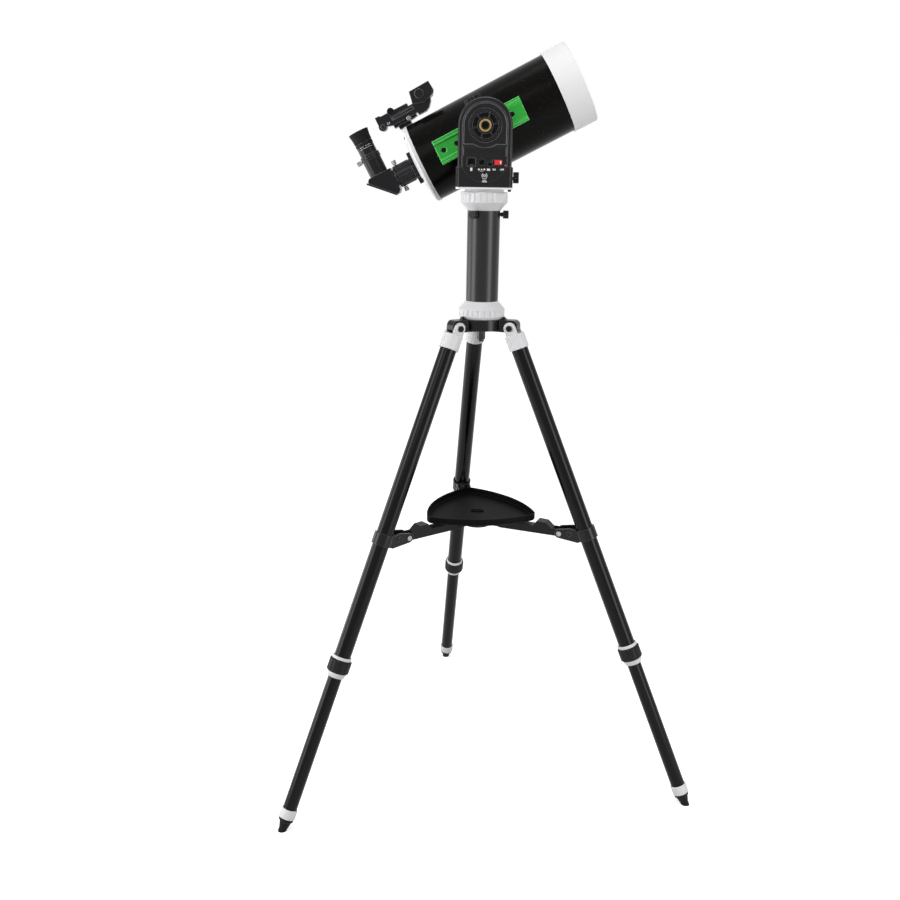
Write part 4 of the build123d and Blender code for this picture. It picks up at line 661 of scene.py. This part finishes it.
def makeMarks(values):
    def addMark(name, size, x, z):
        return addBlock(name, (*size, values["ink"]), onPanel(x, z), outFront)

    def settleMark(mark):
        settle(mark, "mount", "printInk")

    for name, words, x in values["words"]:
        settleMark(addLettering(name, words, onPanel(x, values["z"], values["lift"]), values["wordHeight"],
                                values["wordSpread"], values["ink"]))

    # handset mark: a frame with a field of keys
    outer, inner = values["handsetRims"]
    handset = addMark("handsetMark", values["handset"], values["handsetX"], values["z"])
    workFaces(handset, isFront,
              (("inset", outer), values["sunk"], ("inset", inner), ("raise", values["handsetKeys"])))
    settleMark(handset)

    # polarity mark: ring, dot and ring over a line
    for k, (x, radius) in enumerate(values["polarity"]):
        ring = addDrum(f"polarityMark_{k}", radius, values["ink"], onPanel(x, values["z"]), outFront,
                       sides=values["polaritySides"])
        hollow = () if k == values["polarityDot"] else (values["sunk"],)
        workFaces(ring, isFront, (("inset", values["polarityRim"]), *hollow))
        settleMark(ring)
    dotX = values["polarity"][values["polarityDot"]][0]
    line = addMark("polarityLine", values["line"], dotX, values["z"] - values["lineDown"])
    softenEdges(line, edgeSize["ink"])
    settleMark(line)

    # shutter mark: a camera's outline
    shutter = addMark("shutterMark", values["shutter"], values["shutterX"], values["z"] - values["shutterDown"])
    workFaces(shutter, isFront, (("inset", values["shutterRim"]), values["sunk"]))
    settleMark(shutter)

    # wireless mark, over three rows of unreadable small print
    settleMark(addLettering("labelAir", "(o)", onPanel(values["airX"], values["airZ"], values["lift"]),
                            values["airHeight"], values["airSpread"], values["ink"]))
    for k, (z, width) in enumerate(values["rows"]):
        row = addMark(f"printRow_{k}", (width, values["rowHeight"]), values["airX"], z)
        softenEdges(row, edgeSize["ink"])
        settleMark(row)


# stop stud under the base plate, inside the plate's near edge
studValues = {"x": 43.0, "inside": 9.0, "radius": 2.8, "long": 3.2, "sides": 32,
              "steps": (("inset", 0.7), ("raise", 0.5))}


def makeStud(values):
    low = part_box("base_plate")[0]
    place = Vector((values["x"] * mm, low.y + values["inside"] * mm, low.z))
    stud = addDrum("plateStud", values["radius"], values["long"], place, -upright, sides=values["sides"])
    workFaces(stud, isFront, values["steps"])
    softenEdges(stud, edgeSize["metal"])
    settle(stud, "mount", "footRubber")


# finder's hood: a screw disc on each side; s and n are places beside the tube, and side is how far from its
# middle plane
hoodScrewValues = {"s": -82.0, "n": 111.3, "side": 15.5, "radius": 4.2, "proud": 0.8, "sides": 40,
                   "steps": (("inset", 1.4), ("raise", 0.5), ("inset", 1.3), ("raise", -0.7))}


def makeHoodScrews(values):
    for side, word in ((-1, "near"), (1, "far")):
        place = onTube(values["s"], values["n"], side * values["side"])
        screw = addDrum(f"hoodScrew_{word}", values["radius"], values["proud"], place, Vector((0, side, 0)),
                        alongTube, values["sides"])
        workFaces(screw, isFront, values["steps"])
        softenEdges(screw, edgeSize["moulding"])
        settle(screw, "tube", "blackSteelAndBoreShade")


# finder's body: a moulded panel with a groove round it on each side
finderPanelValues = {"s": -124.0, "n": 95.4, "side": 11.0, "size": (46.0, 8.6, 0.7),
                     "steps": (("inset", 1.5), ("raise", -0.4), ("inset", 1.2), ("raise", 0.4))}


def makeFinderPanels(values):
    for side, word in ((-1, "near"), (1, "far")):
        place = onTube(values["s"], values["n"], side * values["side"])
        panel = addBlock(f"finderPanel_{word}", values["size"], place, Vector((0, side, 0)), alongTube)
        workFaces(panel, isFront, values["steps"])
        softenEdges(panel, edgeSize["moulding"])
        settle(panel, "tube", "finderAbs")


# battery door on the near side, with the two strokes of its mark
batteryValues = {"s": -168.0, "n": 90.3, "side": 11.0, "radius": 5.6, "proud": 0.5,
                 "steps": (("inset", 0.8), ("raise", -0.35), ("inset", 2.2), ("raise", 0.6)),
                 "tick": (1.4, 3.4, 0.12), "tickS": -156.8, "tickN": 91.0, "tickPitch": 3.4, "ticks": 2}


def makeBatteryDoor(values):
    door = addDrum("batteryDoor", values["radius"], values["proud"],
                   onTube(values["s"], values["n"], -values["side"]), outFront, alongTube)
    workFaces(door, isFront, values["steps"])
    softenEdges(door, edgeSize["metal"])
    settle(door, "tube", "knobAbs")
    for k in range(values["ticks"]):
        place = onTube(values["tickS"] + values["tickPitch"] * k, values["tickN"], -values["side"])
        tick = addBlock(f"batteryMark_{k}", values["tick"], place, outFront, alongTube)
        softenEdges(tick, edgeSize["ink"])
        settle(tick, "tube", "printInk")


# knurled clamp screw on the finder's shoe
shoeScrewValues = {"s": -117.6, "n": 82.0, "side": 11.0, "radius": 4.4, "long": 6.5, "neck": 1.2, "sides": 36,
                   "under": 0.35, "ribsFrom": 0.6, "rib": 0.45, "end": (("inset", 0.6, 0.4),)}


def makeShoeScrew(values):
    def isRib(middle, normal):
        return (abs(normal.z) < 0.1 and middle.z > values["ribsFrom"]
                and alternate(middle, values["sides"] / 2, 0.01))

    screw = addDrum("shoeScrew", values["radius"] - values["under"], values["neck"],
                    onTube(values["s"], values["n"], -values["side"]), outFront, alongTube, values["sides"])
    workFaces(screw, isFront, (("raise", values["long"] - values["neck"]),))
    workFaces(screw, isRib, (("raise", values["rib"]),))
    workFaces(screw, isFront, values["end"])
    settle(screw, "tube", "knurledChrome")


# silvered spot on the back of the corrector, with its baffle
spotValues = {"s": 137.4, "radius": 15.0, "rim": 1.2, "thick": 0.5, "steps": (("inset", 0.6, 0.1),),
              "hoodLong": 16.0, "hoodWall": 0.8, "sides": 64}


def makeSpot(values):
    place = onTube(values["s"], 0)
    spot = addDrum("silveredSpot", values["radius"] - values["rim"], values["thick"], place, alongTube,
                   outFront, values["sides"])
    workFaces(spot, isFront, values["steps"])
    settle(spot, "tube", "mirrorSilver")
    hood = addDrum("spotBaffle", values["radius"], values["hoodLong"], place, -alongTube, outFront,
                   values["sides"], "NOTHING")
    workFaces(hood, isAny, (("raise", values["hoodWall"]),))
    settle(hood, "tube", "blackAnodised")


# collimation screws on the rear cell: one made, the others turned about the tube
cellScrewValues = {"s": -140.8, "n": 54.0, "radius": 3.3, "proud": 1.8, "count": 3, "sides": 36,
                   "steps": (("inset", 0.5), ("raise", 0.3), ("inset", 1.0), ("raise", -1.2))}


def makeCellScrews(values):
    screw = addDrum("cellScrew_0", values["radius"], values["proud"], onTube(values["s"], values["n"]),
                    -alongTube, outFront, values["sides"])
    workFaces(screw, isFront, values["steps"])
    softenEdges(screw, edgeSize["metal"])
    settle(screw, "tube", "blackSteelAndBoreShade")
    for k in range(1, values["count"]):
        turn = turnAbout(tubeHome, alongTube, 2 * math.pi * k / values["count"])
        copyTo(screw, f"cellScrew_{k}", turn, "tube")


# eyepiece: where it stands along the tube, and where its rubber cup begins on the black barrel
eyepieceS = -213.5
cupValues = {"from": 83.6, "radius": 14.9}


def finishEyepiece(values):
    def isCup(middle, normal):
        place = middle - tubeHome
        up = place.dot(acrossTube)
        out = (place - acrossTube * up - alongTube * eyepieceS * mm).length
        return up / mm > values["from"] and out / mm > values["radius"]

    eyepiece = copySolid("eyepiece", "eyepieceShell", ("blackAnodised", "footRubber"), isCup)


# ribbed band under the cup
bandValues = {"from": 77.0, "long": 5.0, "radius": 16.5, "teeth": 40, "wall": 0.25, "rib": 0.4, "inside": 0.1}


def makeBand(values):
    def isRib(middle, normal):
        return (abs(normal.z) < 0.1 and middle.xy.length > values["radius"] - values["inside"]
                and alternate(middle, values["teeth"], 0.001))

    band = addDrum("eyepieceBand", values["radius"] - values["wall"], values["long"],
                   onTube(eyepieceS, values["from"]), acrossTube, outFront, 2 * values["teeth"], "NOTHING")
    workFaces(band, isAny, (("raise", values["wall"]),))
    workFaces(band, isRib, (("raise", values["rib"]),))
    settle(band, "eyepiece", "gripRubber")


# rating ticks: one, then its copies round and down the barrel
tickValues = {"size": (2.0, 0.8, 0.2), "n": 75.2, "side": 16.3, "count": 9, "rows": 2, "turn": 10.5,
              "down": -3.4}


def makeTicks(values):
    tick = addBlock("eyepieceMark_0", values["size"], onTube(eyepieceS, values["n"], -values["side"]), outFront,
                    alongTube)
    softenEdges(tick, edgeSize["ink"])
    settle(tick, "eyepiece", "printInk")
    home = onTube(eyepieceS, 0)
    for k in range(1, values["rows"] * values["count"]):
        row, place = divmod(k, values["count"])
        angle = math.radians(values["turn"]) * (place - (values["count"] - 1) / 2 + 0.5 * row)
        down = Matrix.Translation(acrossTube * row * values["down"] * mm)
        copyTo(tick, f"eyepieceMark_{k}", down @ turnAbout(home, acrossTube, angle), "eyepiece")


# plano-convex eye lens: a slice of a sphere on a flat back
lensValues = {"from": 92.1, "radius": 6.6, "high": 1.4, "segments": 48, "rings": 96}


def makeEyeLens(values):
    high = values["high"]
    radius = (values["radius"] ** 2 + high ** 2) / (2 * high)
    clearSelection()
    bpy.ops.mesh.primitive_uv_sphere_add(segments=values["segments"], ring_count=values["rings"],
                                         radius=radius * mm, rotation=turned(acrossTube, outFront),
                                         location=onTube(eyepieceS, values["from"] + high - radius))
    lens = bpy.context.object
    lens.name = "eyeLens"
    bpy.ops.object.mode_set(mode="EDIT")
    bpy.ops.mesh.select_all(action="SELECT")
    bpy.ops.mesh.bisect(plane_co=onTube(eyepieceS, values["from"]), plane_no=acrossTube, use_fill=True,
                        clear_inner=True)
    bpy.ops.object.mode_set(mode="OBJECT")
    settle(lens, "eyepiece", "coatedGlass")


# the studio, in metres and watts: each lamp has its place and size, and all of them face one point
studioValues = {"floor": 12.0, "nearGlow": 0.5, "farGlow": 0.85, "sweep": (0.8, 3.0), "bounce": "A8A8A8",
                "paper": "FFFFFF", "air": 0.26, "airSeen": 1.0, "aim": (0, 0, 0.85),
                "lamps": (("keyLamp", (-1.2, -2.6, 2.4), (1.4, 1.4), 15.0),
                          ("leftBox", (-2.1, -0.9, 1.2), (1.0, 2.2), 46.0),
                          ("rightBox", (1.9, -1.5, 1.2), (1.0, 2.2), 42.0),
                          ("rearBox", (-2.0, 0.6, 0.5), (1.0, 1.0), 10.0),
                          ("topBox", (0.1, 0.1, 3.1), (1.6, 1.6), 16.0))}


def seenRay(holder):
    # one for what the eye sees, straight on, in gloss or through glass; nought for light on its way elsewhere
    ray = addNode(holder, "ShaderNodeLightPath")
    glossy = addNode(holder, "ShaderNodeMath", {"operation": "MAXIMUM"},
                     {0: (ray, "Is Glossy Ray"), 1: (ray, "Is Transmission Ray")})
    return addNode(holder, "ShaderNodeMath", {"operation": "MAXIMUM"},
                   {0: (ray, "Is Camera Ray"), 1: (glossy, 0)})


def makePaper(values):
    # seamless paper: white to the eye and in reflections, greyer for the light that it throws back
    paper = newMaterial("studioPaper")
    seen = seenRay(paper)
    dull = addNode(paper, "ShaderNodeBsdfDiffuse", {"Color": toLinear(values["bounce"])})
    white = addNode(paper, "ShaderNodeBsdfDiffuse", {"Color": toLinear(values["paper"])})
    # the paper sweeps up behind the object, so it glows more with distance
    coords = addNode(paper, "ShaderNodeTexCoord")
    reach = addNode(paper, "ShaderNodeVectorMath", {"operation": "LENGTH"}, {0: (coords, "Object")})
    near, far = values["sweep"]
    sweep = addNode(paper, "ShaderNodeMapRange",
                    {"From Min": near, "From Max": far, "To Min": values["nearGlow"],
                     "To Max": values["farGlow"]},
                    {"Value": (reach, "Value")})
    glow = addNode(paper, "ShaderNodeEmission", {"Color": toLinear(values["paper"])}, {"Strength": (sweep, 0)})
    bright = addNode(paper, "ShaderNodeAddShader", {}, {0: (white, 0), 1: (glow, 0)})
    either = addNode(paper, "ShaderNodeMixShader", {}, {0: (seen, 0), 1: (dull, 0), 2: (bright, 0)})
    addNode(paper, "ShaderNodeOutputMaterial", {}, {"Surface": (either, 0)})
    return paper


def makeAir(values):
    # even light from all round, seen as plain white
    air = bpy.data.worlds.new("studioAir")
    scene.world = air
    air.use_nodes = True
    air.node_tree.nodes.clear()
    seen = seenRay(air)
    soft = addNode(air, "ShaderNodeBackground", {"Color": toLinear(values["paper"]), "Strength": values["air"]})
    white = addNode(air, "ShaderNodeBackground",
                    {"Color": toLinear(values["paper"]), "Strength": values["airSeen"]})
    either = addNode(air, "ShaderNodeMixShader", {}, {0: (seen, 0), 1: (soft, 0), 2: (white, 0)})
    addNode(air, "ShaderNodeOutputWorld", {}, {"Surface": (either, 0)})


def makeStudio(values):
    clearSelection()
    bpy.ops.mesh.primitive_plane_add(size=values["floor"], location=(0, 0, 0))
    floor = bpy.context.object
    floor.name = "studioFloor"
    floor.data.materials.append(makePaper(values))
    makeAir(values)
    for name, place, size, power in values["lamps"]:
        data = bpy.data.lights.new(name, "AREA")
        data.shape = "RECTANGLE"
        data.size, data.size_y = size
        data.energy = power
        lamp = bpy.data.objects.new(name, data)
        scene.collection.objects.link(lamp)
        lamp.location = place
        lamp.rotation_euler = (Vector(values["aim"]) - Vector(place)).to_track_quat("-Z", "Y").to_euler()
    print("studio set")


scene.view_settings.view_transform = "Standard"
makeCamera(cameraValues)
materials = makeMaterials()
dressSolids()
finishLegs(legValues)
finishBar(barValues)
finishBush(bushValues)
makeContacts(contactValues)
makeLamp(lampValues)
makeSwitchMark(switchMarkValues)
makeMarks(markValues)
makeStud(studValues)
print("panel pieces made")
makeHoodScrews(hoodScrewValues)
makeFinderPanels(finderPanelValues)
makeBatteryDoor(batteryValues)
makeShoeScrew(shoeScrewValues)
print("finder pieces made")
makeSpot(spotValues)
makeCellScrews(cellScrewValues)
print("optics pieces made")
finishEyepiece(cupValues)
makeBand(bandValues)
makeTicks(tickValues)
makeEyeLens(lensValues)
print("eyepiece pieces made")
makeStudio(studioValues)
